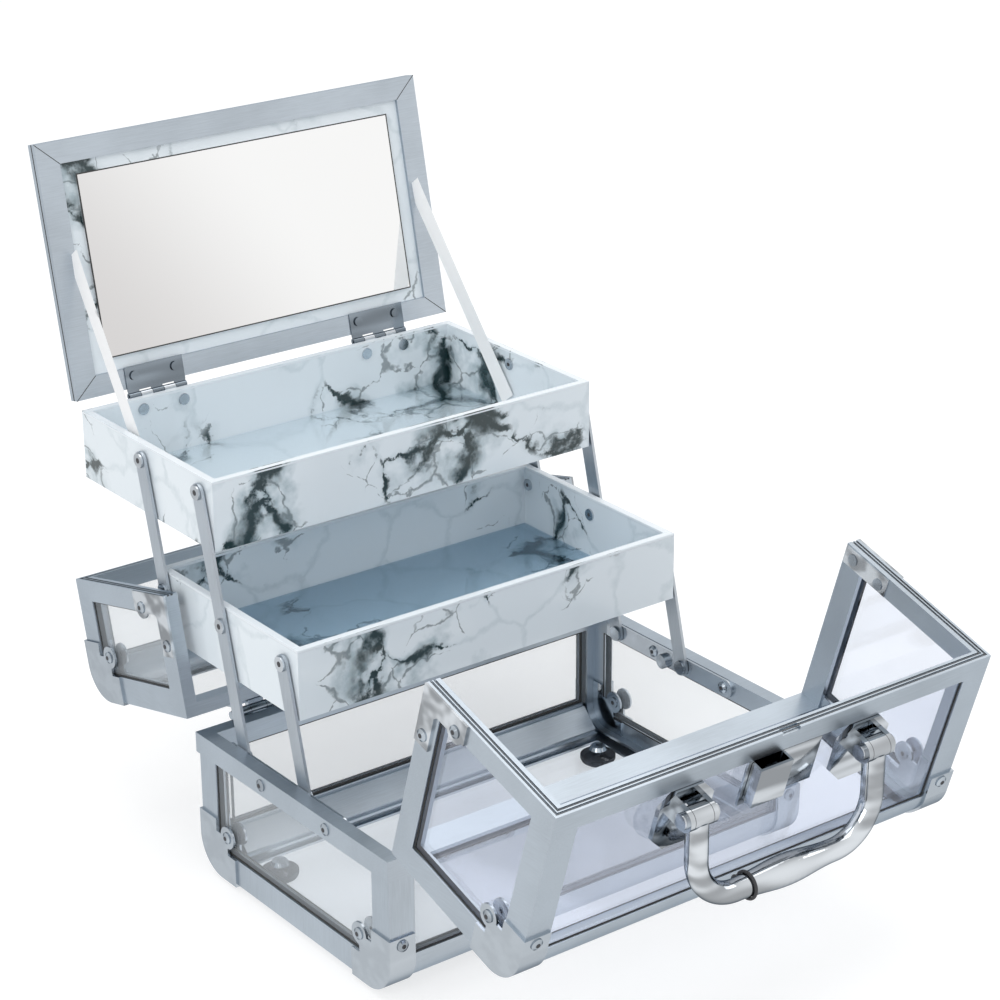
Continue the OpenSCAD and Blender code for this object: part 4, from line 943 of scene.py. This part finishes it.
@dataclass
class Studio:
    """The camera, the lights, the floor and the white surround."""

    place: Vector = field(default_factory=lambda: Vector((-0.60903, -0.81155, 0.57012)))
    heading: float = 37.54
    dip: float = 22.9
    roll: float = 0.15
    lens: float = 104.2
    shift: tuple[float, float] = (-0.0278, 0.0286)
    sensor: float = 36.0
    floor_size: float = 6.0
    floor_seen: float = 0.45
    floor_unseen: float = 0.8
    floor_glow: float = 0.64
    target: Vector = field(default_factory=lambda: Vector((0.0, 0.0, 0.1)))

    def build(self) -> None:
        """Sets up the whole studio."""
        self._camera()
        self._floor()
        self._lamps()
        self._world()
        bpy.context.scene.view_settings.view_transform = "Standard"

    def _camera(self) -> None:
        """The camera stands where the photograph was taken from."""
        data = bpy.data.cameras.new("camera")
        data.lens = self.lens
        data.sensor_width = self.sensor
        data.shift_x, data.shift_y = self.shift
        data.clip_start = 0.01
        camera = bpy.data.objects.new("camera", data)
        camera.location = self.place
        turns = (90 - self.dip, self.roll, -self.heading)
        camera.rotation_euler = tuple(math.radians(turn) for turn in turns)
        bpy.context.scene.collection.objects.link(camera)
        bpy.context.scene.camera = camera

    def _floor(self) -> None:
        """A pale floor that looks white to the eye and keeps the shadow."""
        mesh = bmesh.new()
        bmesh.ops.create_grid(mesh, x_segments=1, y_segments=1, size=self.floor_size)
        data = bpy.data.meshes.new("floor")
        mesh.to_mesh(data)
        mesh.free()
        floor = bpy.data.objects.new("floor", data)
        bpy.context.scene.collection.objects.link(floor)
        material = bpy.data.materials.new("pale_floor")
        material.use_nodes = True
        graph = Graph(material.node_tree)
        camera = graph.node("ShaderNodeLightPath", None, None, "Is Camera Ray")
        shade = graph.mix(camera, grey(self.floor_unseen), grey(self.floor_seen))
        paint = graph.node("ShaderNodeBsdfDiffuse", None, {"Color": shade})
        lit = graph.node("ShaderNodeEmission", None,
                         {"Color": grey(1.0), "Strength": self._seen(graph) * self.floor_glow})
        seen = graph.node("ShaderNodeAddShader", None, {0: paint, 1: lit})
        white = graph.node("ShaderNodeEmission", None, {"Color": grey(1.0), "Strength": 1.0})
        glossy = graph.node("ShaderNodeLightPath", None, None, "Is Glossy Ray")
        graph.finish(graph.node("ShaderNodeMixShader", None, {0: glossy, 1: seen, 2: white}))
        data.materials.append(material)

    @staticmethod
    def _seen(graph: Graph) -> Socket:
        """1 for what the eye, a reflection or a look through glass sees, otherwise 0."""
        total = graph.node("ShaderNodeLightPath", None, None, "Is Camera Ray")
        for ray in ("Is Glossy Ray", "Is Transmission Ray"):
            total = total + graph.node("ShaderNodeLightPath", None, None, ray)
        return total.least(1.0)

    def _lamps(self) -> None:
        """Three large soft lamps: one above, one from the left and one from the right."""
        for name, place, size, power in (("top_lamp", (0.1, 0.1, 1.6), 1.6, 9.0),
                                         ("left_lamp", (-1.5, -0.5, 0.9), 1.1, 7.0),
                                         ("right_lamp", (1.7, -0.35, 0.9), 1.0, 5.0)):
            data = bpy.data.lights.new(name, "AREA")
            data.shape = "SQUARE"
            data.size = size
            data.energy = power
            lamp = bpy.data.objects.new(name, data)
            lamp.location = place
            lamp.rotation_euler = (self.target - Vector(place)).to_track_quat("-Z", "Y").to_euler()
            bpy.context.scene.collection.objects.link(lamp)

    def _world(self) -> None:
        """White to the eye and in reflections, and softer as a light."""
        world = bpy.data.worlds.new("surround")
        bpy.context.scene.world = world
        world.use_nodes = True
        graph = Graph(world.node_tree)
        seen = self._seen(graph)
        colour = graph.mix(seen, grey(0.72, 0.02), grey(1.0))
        graph.finish(graph.node("ShaderNodeBackground", None, {"Color": colour, "Strength": 1.0}),
                     "ShaderNodeOutputWorld")


# --------------------------------------------------------------------------------------------- main


def dress_nodes(nodes: dict[str, bpy.types.Object]) -> None:
    """Gives every solid its finish."""
    for name, finish in NODE_FINISH.items():
        piece = nodes[name]
        material = finish.material()
        piece.data.materials.clear()
        piece.data.materials.append(material)
        LOG.info("node %s is %s", name, finish.name)


def main() -> None:
    """Dresses the part and builds what the solids leave out."""
    logging.basicConfig(level=logging.INFO, format="%(message)s")
    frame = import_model()
    Studio().build()
    dress_nodes(frame["nodes"])
    BaseTrim().build()
    FlapTrim("front_flap", Hinged(pin=(-68.2, 62.0), angle=107.2), depth=79.8).build()
    FlapTrim("rear_flap", Hinged(pin=(-69.0, 59.7), angle=104.0, flipped=True), depth=49.8).build()
    TrayTrim("lower_tray", SHEET_LOWER,
             pins=((54.554, 107.043), (12.654, 107.043), (96.454, 107.043))).build()
    TrayTrim("upper_tray", SHEET_UPPER, pins=((67.608, 157.885), (109.508, 157.885)), band=0.03).build()
    LidTrim(Hinged(pin=(158.808, 164.185), angle=-102.2), width=2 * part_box("lid_frame")[1][0] / MM,
            near=155.808, far=52.808, layer=164.485).build()
    for node, body in (("base_rivets", "base"), ("front_flap_rivets", "front_flap"),
                       ("rear_flap_rivets", "rear_flap")):
        RivetCores(node, body).build(frame["nodes"])
    Ribbons().build()


if __name__ == "__main__":
    main()
